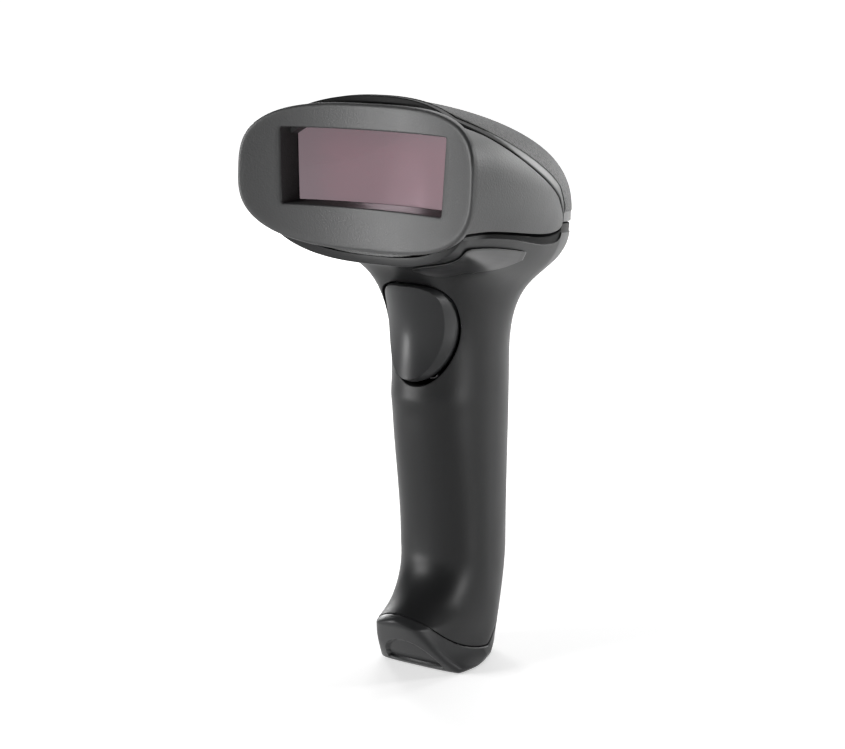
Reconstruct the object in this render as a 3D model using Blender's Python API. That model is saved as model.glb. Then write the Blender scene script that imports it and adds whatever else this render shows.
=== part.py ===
# Handheld barcode scanner: a pistol grip that flares into a long oval head. The head opens forward
# through a window deep in an oval bezel, and a laser scan engine works inside it.
# Units are metres. +Z is up, the scanner looks along -Y, and it stands on the flat sole of its foot.
import math

import bmesh
import bpy
import numpy as np
from mathutils import Matrix, Vector

# Clearances, how far a cutter runs past what it cuts, and how far a joined boss sinks into its body
GAP = 0.0003
SEAM = 0.0004
RUNNING = 0.00015
CUT_MARGIN = 0.02
JOIN_SINK = 0.001

# Grip, measured from its own upright axis
GRIP_WALL = 0.0022
GRIP_HALF_WIDTH = 0.0130
GRIP_BACK = 0.0182
GRIP_ROUNDNESS = 2.3
WAIST_Z = 0.032
WAIST_FRONT = 0.0126
CHEST_Z = 0.075
CHEST_FRONT = 0.0174
NECK_Z = 0.083
NECK_HALF_WIDTH = 0.0139
TOE_HEIGHT = 0.014
TOE_REACH = 0.0124
TOE_POWER = 2.3
TOE_ROUNDNESS = 1.7
SOLE_ROUNDNESS = 2.6
TOE_TIP_Z = 0.018
HEEL_TOP_Z = 0.030
HEEL_HEIGHT = 0.020
HEEL_TAPER = 0.0036
FLANK_TAPER = 0.0010

# Foot
SOLE_ROUND = 0.0016
FACE_FOOT_Y = -0.0162
FACE_SLOPE = 0.756
HEEL_SEAM_Y = 0.016
SEAM_BACK_Z = 0.0036
SEAM_FRONT_RISE = 0.0135
SEAM_REACH = 0.041
SEAM_POWER = 3.2
RECESS_DEPTH = 0.001
RECESS_HALF_WIDTH = 0.0090
RECESS_HEIGHT = 0.0125
CAP_HOLLOW_FRONT = 0.0140
CAP_FLOOR = 0.0024

# Head, an oval whose axis sinks towards the tail
HEAD_FRONT_Y = -0.038
HEAD_TAIL_Y = 0.0425
HEAD_HALF_WIDTH = 0.0332
HEAD_AXIS_FRONT_Z = 0.1363
HEAD_AXIS_TAIL_Z = 0.1165
HEAD_AXIS_POWER = 1.4
HEAD_RISE = 0.0192
HEAD_DROP = 0.0214
HEAD_ROUNDNESS = 2.35
PLAN_POWER = 2.2
CREST_POWER = 4.0
BELLY_POWER = 3.0
HEAD_WALL = 0.0020
FRONT_FADE = 0.010

# How finely the head is divided, from the middle of its front to its tail
FRONT_STATIONS = 9
LEAD_STATIONS = 8
TIP_STATIONS = 4
TIP_LENGTH = 0.006
TAIL_STATIONS = 6

# Flare between the head's rim and the neck
RIM_BAND = 0.0024
FLARE_RINGS = 9
GRIP_RINGS = 6
FOOT_RINGS = 6
FLARE_EVENING = 40
RIM_PULL = 0.39
NECK_PULL = 0.65

# Cheeks of the bezel, as angles round the head's axis
CHEEK_TIP_Y = 0.0206
CHEEK_TIP_ANGLE = math.radians(-10.0)
CHEEK_TOP_FRONT = math.radians(47.0)
CHEEK_TOP_BACK = math.radians(6.0)
CHEEK_TOP_POWER = 2.1
CHEEK_LOW_FRONT = math.radians(-34.0)
CHEEK_LOW_BACK = math.radians(-28.0)
CHEEK_TIP_POWER = 5.0

# Bezel and window
FACE_Y = -0.0377
FACE_RADIUS = 0.081
FACE_LEAN = 0.06
BEZEL_Z = 0.1351
BEZEL_OVERHANG = 0.0026
BEZEL_HALF_WIDTH = HEAD_HALF_WIDTH + BEZEL_OVERHANG
BEZEL_HALF_HEIGHT = 0.0185
BEZEL_ROUNDNESS = 2.65
RIM_DEPTH = 0.0023
RIM_FILLET = 0.0010
EDGE_GROOVE = 0.0009
PLATE_DEPTH = 0.0043
SKIRT_DEPTH = 0.0090
SKIRT_WALL = 0.0016
WINDOW_Z = 0.13735
WINDOW_SIDE_TOP = 0.0080
WINDOW_SIDE_BOTTOM = 0.0089
WINDOW_HALF_TOP = HEAD_HALF_WIDTH - WINDOW_SIDE_TOP
WINDOW_HALF_BOTTOM = HEAD_HALF_WIDTH - WINDOW_SIDE_BOTTOM
WINDOW_HALF_HEIGHT = 0.0097
WINDOW_DEPTH = 0.0078
PANE_LEAN = 0.063
TUNNEL_DRAFT = 0.0016
TUNNEL_WALL = 0.0012
GASKET_THICKNESS = 0.0008
PANE_THICKNESS = 0.0018

# Trigger
TRIGGER_Z = 0.0923
TRIGGER_HALF_HEIGHT = 0.0139
TRIGGER_HALF_WIDTH = 0.0116
TRIGGER_TOP_ROUNDNESS = 4.0
TRIGGER_LOW_ROUNDNESS = 2.3
TRIGGER_SIDE_GAP = 0.0008
TRIGGER_FOOT_GAP = 0.0018
TRIGGER_FRONT = 0.0192
TRIGGER_BROW = 0.0030
TRIGGER_SCOOP = 0.0020
TRIGGER_PAD = 0.0078
TRIGGER_FLANK = 0.0068
TRIGGER_BACK = 0.0118
END_TRIM = 0.002
PIVOT_Y = -0.0060
PIVOT_Z = 0.1030
PIN_RADIUS = 0.0012
KNUCKLE_RADIUS = 0.0026
EAR_HALF_HEIGHT = 0.0021
KNUCKLE_HALF_LENGTH = 0.0070
PIN_BOSS_RADIUS = 0.0024
TRIGGER_MOUTH_BACK = 0.0088
NIB_DROP = 0.0145
NIB_RADIUS = 0.0016
NIB_END_Y = -0.0062
SPRING_CLEARANCE = 0.0013
SPRING_RADIUS = 0.0024
SPRING_WIRE = 0.0003
SPRING_TURNS = 6

# Boards and what they carry in the grip
BOARD_FRONT_Y = 0.0050
BOARD_THICKNESS = 0.0016
BOARD_LOW_Z = 0.0100
BOARD_TOP_Z = 0.1000
SWITCH_HALF = 0.0030
SWITCH_DEPTH = 0.0070
PLUNGER_RADIUS = 0.0014
PLUNGER_SEAT = 0.0020
PLUNGER_TRAVEL = 0.0020
CHIP_HALF = 0.0060
CHIP_THICKNESS = 0.0014
CHIP_Z = 0.0560
CAPACITOR_RADIUS = 0.0032
CAPACITOR_LENGTH = 0.0070
CAPACITOR_Z = 0.0380
BEEPER_RADIUS = 0.0060
BEEPER_DEPTH = 0.0045
BEEPER_Z = 0.0660
SOCKET_HALF_WIDTH = 0.0062
SOCKET_DEPTH = 0.0106
SOCKET_LOW_Z = 0.0008
SOCKET_HEIGHT = 0.0160
SOCKET_MOUTH_HALF_WIDTH = 0.0052
SOCKET_MOUTH_DEPTH = 0.0066
SOCKET_BORE = 0.0120

# Deck and scan engine in the head
DECK_Z = 0.1110
DECK_THICKNESS = 0.0020
DECK_SLOT_HALF_WIDTH = 0.0070
DECK_SLOT_FRONT_Y = 0.0060
DECK_SLOT_BACK_Y = 0.0180
BOSS_X = 0.0122
BOSS_Y = -0.0030
BOSS_RADIUS = 0.0028
BOSS_HEIGHT = 0.0080
SCREW_RADIUS = 0.0010
SCREW_HEAD_RADIUS = 0.0019
SCREW_HEAD_HEIGHT = 0.0012
SCREW_LENGTH = 0.0060
STANDOFF_RADIUS = 0.0022
STANDOFF_EDGE = 0.0010
STANDOFF_CLEARANCE = 0.0010
REAR_STANDOFF_X = -0.0090
BASE_Z = 0.1260
BASE_THICKNESS = 0.0020
BASE_HALF_WIDTH = 0.0230
BASE_FRONT_Y = -0.0180
BASE_BACK_Y = 0.0104
BEAM_Z = 0.1350
BEAM_Y = 0.0010
LASER_RADIUS = 0.0035
LASER_X = -0.0215
LASER_LENGTH = 0.0140
LASER_BLOCK_LENGTH = 0.0100
LASER_BLOCK_SETBACK = 0.0010
LASER_BLOCK_CROWN = 0.0010
LASER_BLOCK_HALF = 0.0042
LENS_RADIUS = 0.0030
LENS_THICKNESS = 0.0016
COLLECTOR_X = -0.0050
COLLECTOR_THICKNESS = 0.0026
COLLECTOR_HOLLOW = 0.0012
COLLECTOR_FRONT_Y = -0.0085
COLLECTOR_BACK_Y = 0.0070
COLLECTOR_HEIGHT = 0.0135
COLLECTOR_HOLE_RADIUS = 0.0020
MIRROR_X = 0.0090
MIRROR_TURN = math.radians(-45.0)
SHAFT_RADIUS = 0.0010
SHAFT_HEIGHT = 0.0125
HUB_RADIUS = 0.0022
HUB_HALF_HEIGHT = 0.0038
MIRROR_HALF_WIDTH = 0.0060
MIRROR_HALF_HEIGHT = 0.0045
MIRROR_THICKNESS = 0.0012
MAGNET_HALF = 0.0015
MAGNET_LENGTH = 0.0020
COIL_OUTER = 0.0042
COIL_INNER = 0.0020
COIL_LENGTH = 0.0030
COIL_AIR_GAP = 0.0012
DETECTOR_INBOARD = 0.0015
DETECTOR_BOARD_THICKNESS = 0.0010
DETECTOR_BOARD_HEIGHT = 0.0095
DETECTOR_Y = -0.0060
DETECTOR_HALF = 0.0025
DETECTOR_THICKNESS = 0.0015
ENGINE_BOARD_HALF_WIDTH = 0.0150
ENGINE_BOARD_HEIGHT = 0.0100
LED_HALF = 0.0010
LED_HEIGHT = 0.0018
LENS_SLOT_HALF_LENGTH = 0.0035
LENS_SLOT_HALF_WIDTH = 0.0011
RIBBON_HALF_WIDTH = 0.0050
RIBBON_THICKNESS = 0.0004
RIBBON_TAB = 0.0050

# Label plate on the right of the neck
LABEL_THICKNESS = 0.0005
LABEL_STAND_OFF = 0.0004
LABEL_FROM = 0.16
LABEL_TO = 1.40
LABEL_LEVEL = 0.29
LABEL_HALF_LEVEL = 0.15

# Finishes: colour, roughness and metallic value
FINISHES = {
    "charcoal": ((0.045, 0.046, 0.048), 0.45, 0.0),
    "satin_grey": ((0.075, 0.077, 0.080), 0.38, 0.0),
    "textured_black": ((0.055, 0.057, 0.058), 0.62, 0.0),
    "window_red": ((0.060, 0.012, 0.022), 0.06, 0.0),
    "rubber": ((0.012, 0.012, 0.013), 0.75, 0.0),
    "label_black": ((0.020, 0.020, 0.022), 0.40, 0.0),
    "steel": ((0.55, 0.55, 0.56), 0.30, 1.0),
    "brass": ((0.60, 0.46, 0.20), 0.35, 1.0),
    "aluminium": ((0.62, 0.63, 0.65), 0.40, 1.0),
    "mirror": ((0.80, 0.80, 0.82), 0.05, 1.0),
    "copper": ((0.55, 0.25, 0.12), 0.40, 1.0),
    "board_green": ((0.02, 0.12, 0.05), 0.50, 0.0),
    "black_plastic": ((0.015, 0.015, 0.016), 0.55, 0.0),
    "clear": ((0.70, 0.75, 0.72), 0.10, 0.0),
    "flex_orange": ((0.45, 0.20, 0.05), 0.50, 0.0),
}


# Shared tools

def clear_scene():
    for old in list(bpy.data.objects):
        bpy.data.objects.remove(old, do_unlink=True)


def finish(name):
    """The named finish as a Principled material, made once."""
    made = bpy.data.materials.get(name)
    if made:
        return made
    colour, roughness, metallic = FINISHES[name]
    made = bpy.data.materials.new(name)
    made.use_nodes = True
    shader = made.node_tree.nodes["Principled BSDF"]
    shader.inputs["Base Color"].default_value = (*colour, 1.0)
    shader.inputs["Roughness"].default_value = roughness
    shader.inputs["Metallic"].default_value = metallic
    return made


def place(mesh, name, finish_name, parent):
    mesh.materials.append(finish(finish_name))
    mesh.shade_smooth()
    mesh.set_sharp_from_angle(angle=math.radians(35.0))
    piece = bpy.data.objects.new(name, mesh)
    bpy.context.scene.collection.objects.link(piece)
    piece.parent = parent
    return piece


def solid(points, faces, name, finish_name, parent):
    """One closed body from points and faces, with coincident points joined and faces turned out."""
    mesh = bpy.data.meshes.new(name)
    mesh.from_pydata([tuple(float(v) for v in p) for p in points], [], faces)
    work = bmesh.new()
    work.from_mesh(mesh)
    bmesh.ops.remove_doubles(work, verts=work.verts, dist=1e-6)
    bmesh.ops.dissolve_degenerate(work, edges=work.edges, dist=1e-7)
    bmesh.ops.recalc_face_normals(work, faces=work.faces)
    if work.calc_volume(signed=True) < 0:
        bmesh.ops.reverse_faces(work, faces=work.faces)
    work.to_mesh(mesh)
    work.free()
    return place(mesh, name, finish_name, parent)


def cuboid(name, low, high, finish_name, parent):
    corners = [(x, y, z) for x in (low[0], high[0]) for y in (low[1], high[1]) for z in (low[2], high[2])]
    faces = [(0, 1, 3, 2), (4, 6, 7, 5), (0, 4, 5, 1), (2, 3, 7, 6), (0, 2, 6, 4), (1, 5, 7, 3)]
    return solid(corners, faces, name, finish_name, parent)


def turned(name, profile, start, axis, finish_name, parent, sides=20):
    """A solid of revolution: profile is (distance along the axis, radius), from end to end."""
    turn = Vector((0, 0, 1)).rotation_difference(Vector(axis)).to_matrix()
    points = []
    for along, radius in profile:
        for k in range(sides):
            angle = 2 * math.pi * k / sides
            local = Vector((radius * math.cos(angle), radius * math.sin(angle), along))
            points.append(Vector(start) + turn @ local)
    faces = []
    for i in range(len(profile) - 1):
        for k in range(sides):
            j = (k + 1) % sides
            faces.append((i * sides + k, i * sides + j, (i + 1) * sides + j, (i + 1) * sides + k))
    faces.append(tuple(range(sides)))
    faces.append(tuple(range((len(profile) - 1) * sides, len(profile) * sides)))
    return solid(points, faces, name, finish_name, parent)


def rod(name, radius, start, axis, length, finish_name, parent, sides=20):
    return turned(name, [(0, radius), (length, radius)], start, axis, finish_name, parent, sides)


def ring_tube(name, outer, inner, start, axis, length, finish_name, parent, sides=24):
    """A round tube, as a band of quads that closes on itself."""
    turn = Vector((0, 0, 1)).rotation_difference(Vector(axis)).to_matrix()
    corners = [(outer, 0.0), (outer, length), (inner, length), (inner, 0.0)]
    points = []
    for radius, along in corners:
        for k in range(sides):
            angle = 2 * math.pi * k / sides
            local = Vector((radius * math.cos(angle), radius * math.sin(angle), along))
            points.append(Vector(start) + turn @ local)
    return solid(points, loop_faces(len(corners), sides), name, finish_name, parent)


def loop_faces(rows, columns):
    """Quads of a grid that closes both ways, numbered row by row."""
    faces = []
    for i in range(rows):
        for k in range(columns):
            a = i * columns + k
            b = i * columns + (k + 1) % columns
            c = ((i + 1) % rows) * columns + (k + 1) % columns
            d = ((i + 1) % rows) * columns + k
            faces.append((a, b, c, d))
    return faces


def patch_solid(outer, inner, name, finish_name, parent):
    """A sheet with thickness: two open grids of the same size, joined round their edges."""
    rows, columns = outer.shape[:2]
    points = list(outer.reshape(-1, 3)) + list(inner.reshape(-1, 3))
    shift = rows * columns
    faces = []
    for i in range(rows - 1):
        for k in range(columns - 1):
            a, b = i * columns + k, i * columns + k + 1
            c, d = a + columns, b + columns
            faces.append((a, b, d, c))
            faces.append((a + shift, c + shift, d + shift, b + shift))
    border = [i * columns for i in range(rows)]
    border += [(rows - 1) * columns + k for k in range(1, columns)]
    border += [i * columns + columns - 1 for i in range(rows - 2, -1, -1)]
    border += list(range(columns - 2, 0, -1))
    for a, b in zip(border, border[1:] + border[:1]):
        faces.append((a, b, b + shift, a + shift))
    return solid(points, faces, name, finish_name, parent)


def prism(outline, low, high, name, finish_name, parent, axis="Z"):
    """A flat outline drawn along one axis."""
    count = len(outline)
    lift = {"X": lambda p, h: (h, p[0], p[1]), "Y": lambda p, h: (p[0], h, p[1]), "Z": lambda p, h: (*p, h)}
    points = [lift[axis](p, h) for h in (low, high) for p in outline]
    faces = [(k, (k + 1) % count, count + (k + 1) % count, count + k) for k in range(count)]
    faces.append(tuple(range(count)))
    faces.append(tuple(range(count, 2 * count)))
    return solid(points, faces, name, finish_name, parent)


def combine(piece, other, operation):
    """Joins or cuts one body with another, which is kept out of the finished object."""
    change = piece.modifiers.new(operation.lower() + "_" + other.name, "BOOLEAN")
    change.operation = operation
    change.object = other
    change.solver = "EXACT"
    other.hide_render = True
    other.display_type = "WIRE"


def clamp(value, low=0.0, high=1.0):
    return max(low, min(high, value))


def ease(value):
    t = clamp(value)
    return t * t * (3 - 2 * t)


def unit(vectors):
    return vectors / np.maximum(np.linalg.norm(vectors, axis=-1, keepdims=True), 1e-12)


# The forms that the shells share

def oval_radius(along, across, roundness):
    """Polar radius factor of a rounded oval for a direction already divided by its half axes."""
    return (abs(along) ** roundness + abs(across) ** roundness) ** (-1.0 / roundness)


def grip_radius(theta, z):
    """From the grip's axis to its skin at height z, with theta 0 at the front and pi at the back."""
    toe = clamp((WAIST_Z - z) / TOE_HEIGHT, 0.0, 1.25)
    heel = clamp((HEEL_TOP_Z - z) / HEEL_HEIGHT, 0.0, 1.5) ** 1.5
    front = WAIST_FRONT + (CHEST_FRONT - WAIST_FRONT) * ease((z - WAIST_Z) / (CHEST_Z - WAIST_Z))
    front += TOE_REACH * toe ** TOE_POWER
    half = GRIP_HALF_WIDTH + (NECK_HALF_WIDTH - GRIP_HALF_WIDTH) * ease((z - WAIST_Z) / (NECK_Z - WAIST_Z))
    half -= FLANK_TAPER * heel
    back = GRIP_BACK - HEEL_TAPER * heel
    facing = math.cos(theta)
    depth = front if facing > 0 else back
    roundness = GRIP_ROUNDNESS
    if facing > 0:
        roundness += (TOE_ROUNDNESS - GRIP_ROUNDNESS) * min(toe, 1.0)
        roundness += (SOLE_ROUNDNESS - TOE_ROUNDNESS) * ease((TOE_TIP_Z - z) / TOE_TIP_Z)
    return oval_radius(math.sin(theta) / half, facing / depth, roundness)


def grip_point(theta, z, inset=0.0):
    radius = grip_radius(theta, z) - inset
    return np.array((radius * math.sin(theta), -radius * math.cos(theta), z))


def seam_height(y):
    """Height of the seam between the grip and the foot, which climbs towards the toe."""
    return SEAM_BACK_Z + SEAM_FRONT_RISE * clamp((HEEL_SEAM_Y - y) / SEAM_REACH, 0.0, 1.2) ** SEAM_POWER


def grip_end(theta, drop=0.0):
    """Height at which the skin meets the foot seam, found by stepping down to it."""
    z = SEAM_BACK_Z
    for _ in range(60):
        target = seam_height(grip_point(theta, z)[1]) - drop
        z += 0.35 * (target - z)
    return z


def head_section(y):
    """Half width, axis height, rise and drop of the head's oval at y."""
    u = clamp((y - HEAD_FRONT_Y) / (HEAD_TAIL_Y - HEAD_FRONT_Y))
    half = HEAD_HALF_WIDTH * (1 - u ** PLAN_POWER) ** (1 / PLAN_POWER)
    axis = HEAD_AXIS_FRONT_Z + (HEAD_AXIS_TAIL_Z - HEAD_AXIS_FRONT_Z) * u ** HEAD_AXIS_POWER
    rise = HEAD_RISE * (1 - u ** CREST_POWER) ** (1 / CREST_POWER)
    drop = HEAD_DROP * (1 - u ** BELLY_POWER) ** (1 / BELLY_POWER)
    return half, axis, rise, drop


def head_point(y, phi):
    """A point of the head's skin: phi is 0 at the right side and a quarter turn at the crest."""
    half, axis, rise, drop = head_section(y)
    c, s = math.cos(phi), math.sin(phi)
    x = half * math.copysign(abs(c) ** (2 / HEAD_ROUNDNESS), c)
    reach = rise if s > 0 else drop
    z = axis + reach * math.copysign(abs(s) ** (2 / HEAD_ROUNDNESS), s)
    return np.array((x, y, z))


def head_normal(y, phi):
    if y > HEAD_TAIL_Y - 1e-5:
        return np.array((0.0, 1.0, 0.0))
    step = 1e-4
    along = head_point(min(y + step, HEAD_TAIL_Y), phi) - head_point(y - step, phi)
    around = head_point(y, phi + 0.01) - head_point(y, phi - 0.01)
    normal = unit(np.cross(along, around))
    outward = np.array((math.cos(phi), 0.0, math.sin(phi)))
    return normal if np.dot(normal, outward) > 0 else -normal


def face_y(x, z):
    """The bezel's front: hollow in plan and leaning a little."""
    return FACE_Y - x * x / (2 * FACE_RADIUS) - (WINDOW_Z - z) * FACE_LEAN


def head_front_shift(y, x, z, depth):
    """Carries the front edge of a shell from the flat section to a set depth behind the bezel's face."""
    fade = 1 - ease((y - HEAD_FRONT_Y) / FRONT_FADE)
    return fade * (face_y(x, z) + depth - HEAD_FRONT_Y)


def cheek_edges(y, spread=0.0):
    """Top and bottom angles of the cheek at y, or of the space for it when spread is above zero."""
    tip = CHEEK_TIP_Y + spread
    t = clamp((y - HEAD_FRONT_Y) / (tip - HEAD_FRONT_Y))
    close = math.sqrt(max(0.0, 1 - t ** CHEEK_TIP_POWER))
    top = CHEEK_TOP_BACK + (CHEEK_TOP_FRONT - CHEEK_TOP_BACK) * (1 - t) ** CHEEK_TOP_POWER
    low = CHEEK_LOW_FRONT + (CHEEK_LOW_BACK - CHEEK_LOW_FRONT) * t
    seam = CHEEK_TIP_ANGLE * clamp((HEAD_TAIL_Y - y) / (HEAD_TAIL_Y - tip))
    opening = spread / HEAD_RISE if t < 1 else 0.0
    return seam + (top - seam) * close + opening, seam + (low - seam) * close - opening


def stations(end_y, tip_y):
    """Places along the head: even at first, close together round the cheek's tip, then to the tail."""
    lead = list(np.linspace(HEAD_FRONT_Y, tip_y - TIP_LENGTH, LEAD_STATIONS))
    rounding = [math.sin(math.pi / 2 * k / TIP_STATIONS) for k in range(1, TIP_STATIONS + 1)]
    tip = [tip_y - TIP_LENGTH * (1 - r) for r in rounding]
    closing = [math.sin(math.pi / 2 * k / TAIL_STATIONS) for k in range(1, TAIL_STATIONS + 1)]
    tail = [tip_y + (end_y - tip_y) * c for c in closing]
    return lead + tip + (tail if end_y > tip_y else [])


def grid_normals(grid):
    """Unit normals of an open grid of points."""
    return unit(np.cross(np.gradient(grid, axis=1), np.gradient(grid, axis=0)))


# Grip and neck

def rim_loop():
    """The handle shell's upper edge, from the middle of the front round the right side to the tail,
    with the head's outward normal at each point."""
    points, normals = [], []
    _, low = cheek_edges(HEAD_FRONT_Y, SEAM)
    for k in range(FRONT_STATIONS):
        phi = -math.pi / 2 + (low + math.pi / 2) * k / FRONT_STATIONS
        p = head_point(HEAD_FRONT_Y, phi)
        p[1] = face_y(p[0], p[2]) + RIM_DEPTH + EDGE_GROOVE
        points.append(p)
        normals.append(head_normal(HEAD_FRONT_Y, phi))
    tip = CHEEK_TIP_Y + SEAM
    for y in stations(HEAD_TAIL_Y, tip):
        _, low = cheek_edges(y, SEAM)
        p = head_point(y, low)
        p[1] += head_front_shift(y, p[0], p[2], RIM_DEPTH + EDGE_GROOVE)
        p[2] -= SEAM
        points.append(p)
        normals.append(head_normal(y, low))
    return np.array(points), np.array(normals)


def mirrored(half, sign):
    """A closed loop from its right half, whose first and last points lie on the middle plane."""
    other = half[-2:0:-1] * np.array((sign, 1.0, 1.0))
    return np.concatenate([half, other])


def handle_skin(rim, normals, away, thetas, inset):
    """One skin of the grip and neck, as rings from the rim down to the foot seam."""
    edge = rim - normals * inset
    band = edge + away * RIM_BAND
    neck = np.array([grip_point(t, NECK_Z, inset) for t in thetas])
    span = np.linalg.norm(band - neck, axis=1, keepdims=True)
    lead = band + away * span * RIM_PULL
    settle = neck + np.array((0.0, 0.0, 1.0)) * span * NECK_PULL
    rings = [edge]
    for t in np.linspace(0.0, 1.0, FLARE_RINGS):
        s = 1 - t
        rings.append(s ** 3 * band + 3 * s * s * t * lead + 3 * s * t * t * settle + t ** 3 * neck)
    for share in np.linspace(1.0, 0.0, GRIP_RINGS)[1:]:
        z = WAIST_Z + (NECK_Z - WAIST_Z) * share
        rings.append(np.array([grip_point(t, z, inset) for t in thetas]))
    ends = [grip_end(t) for t in thetas]
    for share in np.linspace(1.0, 0.0, FOOT_RINGS)[1:]:
        heights = [e + (WAIST_Z - e) * share for e in ends]
        rings.append(np.array([grip_point(t, z, inset) for t, z in zip(thetas, heights)]))
    return np.array(rings)


def handle_grids():
    """Outer and inner skins of the grip and neck."""
    half_rim, half_normals = rim_loop()
    half_rim[0, 0] = 0.0
    half_rim[-1, 0] = 0.0
    rim = mirrored(half_rim, -1.0)
    normals = unit(mirrored(half_normals, -1.0))
    tangent = np.roll(rim, -1, axis=0) - np.roll(rim, 1, axis=0)
    away = unit(np.cross(unit(tangent), normals))
    for _ in range(FLARE_EVENING):
        away = unit(0.25 * np.roll(away, 1, axis=0) + 0.5 * away + 0.25 * np.roll(away, -1, axis=0))
    even = np.linspace(0.0, math.pi, len(half_rim))
    half_thetas = (even + np.arctan2(half_rim[:, 0], -half_rim[:, 1])) / 2
    thetas = np.concatenate([half_thetas, -half_thetas[-2:0:-1]])
    outer = handle_skin(rim, normals, away, thetas, 0.0)
    inner = handle_skin(rim, normals, away, thetas, GRIP_WALL)
    return outer, inner, thetas


def skin_place(grid, column, z, clearance=0.0):
    """Where one column of a skin passes height z, as (x, y), moved towards the axis by a clearance."""
    line = grid[::-1, column]
    place = np.array([np.interp(z, line[:, 2], line[:, 0]), np.interp(z, line[:, 2], line[:, 1])])
    return tuple(place * (1 - clearance / np.hypot(*place)))


def inner_half_width(inner, y, z):
    """Half width of the hollow at y and z."""
    right_side = inner.shape[1] // 2 + 1
    places = sorted(skin_place(inner, k, z)[::-1] for k in range(right_side))
    return float(np.interp(y, [p[0] for p in places], [p[1] for p in places]))


def trigger_outline(inset, foot_extra=0.0, count=40):
    """The trigger opening in front view: square shoulders at the top and a round foot."""
    points = []
    for k in range(count):
        angle = 2 * math.pi * k / count
        c, s = math.cos(angle), math.sin(angle)
        roundness = TRIGGER_TOP_ROUNDNESS if s > 0 else TRIGGER_LOW_ROUNDNESS
        height = TRIGGER_HALF_HEIGHT - inset - (foot_extra if s < 0 else 0.0)
        x = (TRIGGER_HALF_WIDTH - inset) * math.copysign(abs(c) ** (2 / roundness), c)
        z = TRIGGER_Z + height * math.copysign(abs(s) ** (2 / roundness), s)
        points.append((x, z))
    return points


def make_handle(root):
    outer, inner, thetas = handle_grids()
    rows, columns = outer.shape[:2]
    band = np.concatenate([outer, inner[::-1]])
    shell = solid(band.reshape(-1, 3), loop_faces(2 * rows, columns), "handle_shell", "charcoal", root)
    for side, x in (("left", -BOSS_X), ("right", BOSS_X)):
        low = DECK_Z - GAP - BOSS_HEIGHT
        boss = rod("boss_" + side, BOSS_RADIUS, (x, BOSS_Y, low), (0, 0, 1), BOSS_HEIGHT, "charcoal", root)
        combine(shell, boss, "UNION")
        pilot = rod("pilot_" + side, SCREW_RADIUS + RUNNING, (x, BOSS_Y, low + GRIP_WALL), (0, 0, 1),
                    BOSS_HEIGHT, "charcoal", root)
        combine(shell, pilot, "DIFFERENCE")
    mouth = prism(trigger_outline(0.0), HEAD_FRONT_Y, -TRIGGER_MOUTH_BACK, "trigger_mouth", "charcoal", root,
                  "Y")
    combine(shell, mouth, "DIFFERENCE")
    start = KNUCKLE_HALF_LENGTH + GAP
    wall = inner_half_width(inner, PIVOT_Y, PIVOT_Z) + GRIP_WALL / 2
    for side, facing in (("left", -1), ("right", 1)):
        holder = rod("pin_boss_" + side, PIN_BOSS_RADIUS, (facing * start, PIVOT_Y, PIVOT_Z), (facing, 0, 0),
                     wall - start, "charcoal", root, 24)
        combine(shell, holder, "UNION")
        bore = rod("pin_bore_" + side, PIN_RADIUS + RUNNING, (0, PIVOT_Y, PIVOT_Z), (facing, 0, 0),
                   pin_half_length(inner) + GAP, "charcoal", root, 24)
        combine(shell, bore, "DIFFERENCE")
    return outer, inner, thetas


def pin_half_length(inner):
    return inner_half_width(inner, PIVOT_Y, PIVOT_Z) - GAP


# Foot

def cap_hollow_point(theta, z):
    """A point of the foot's hollow, which stops short of the solid toe."""
    radius = grip_radius(theta, max(z, SOLE_ROUND)) - GRIP_WALL
    if math.cos(theta) > 0:
        radius = min(radius, CAP_HOLLOW_FRONT / math.cos(theta))
    return np.array((radius * math.sin(theta), -radius * math.cos(theta), z))


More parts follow.
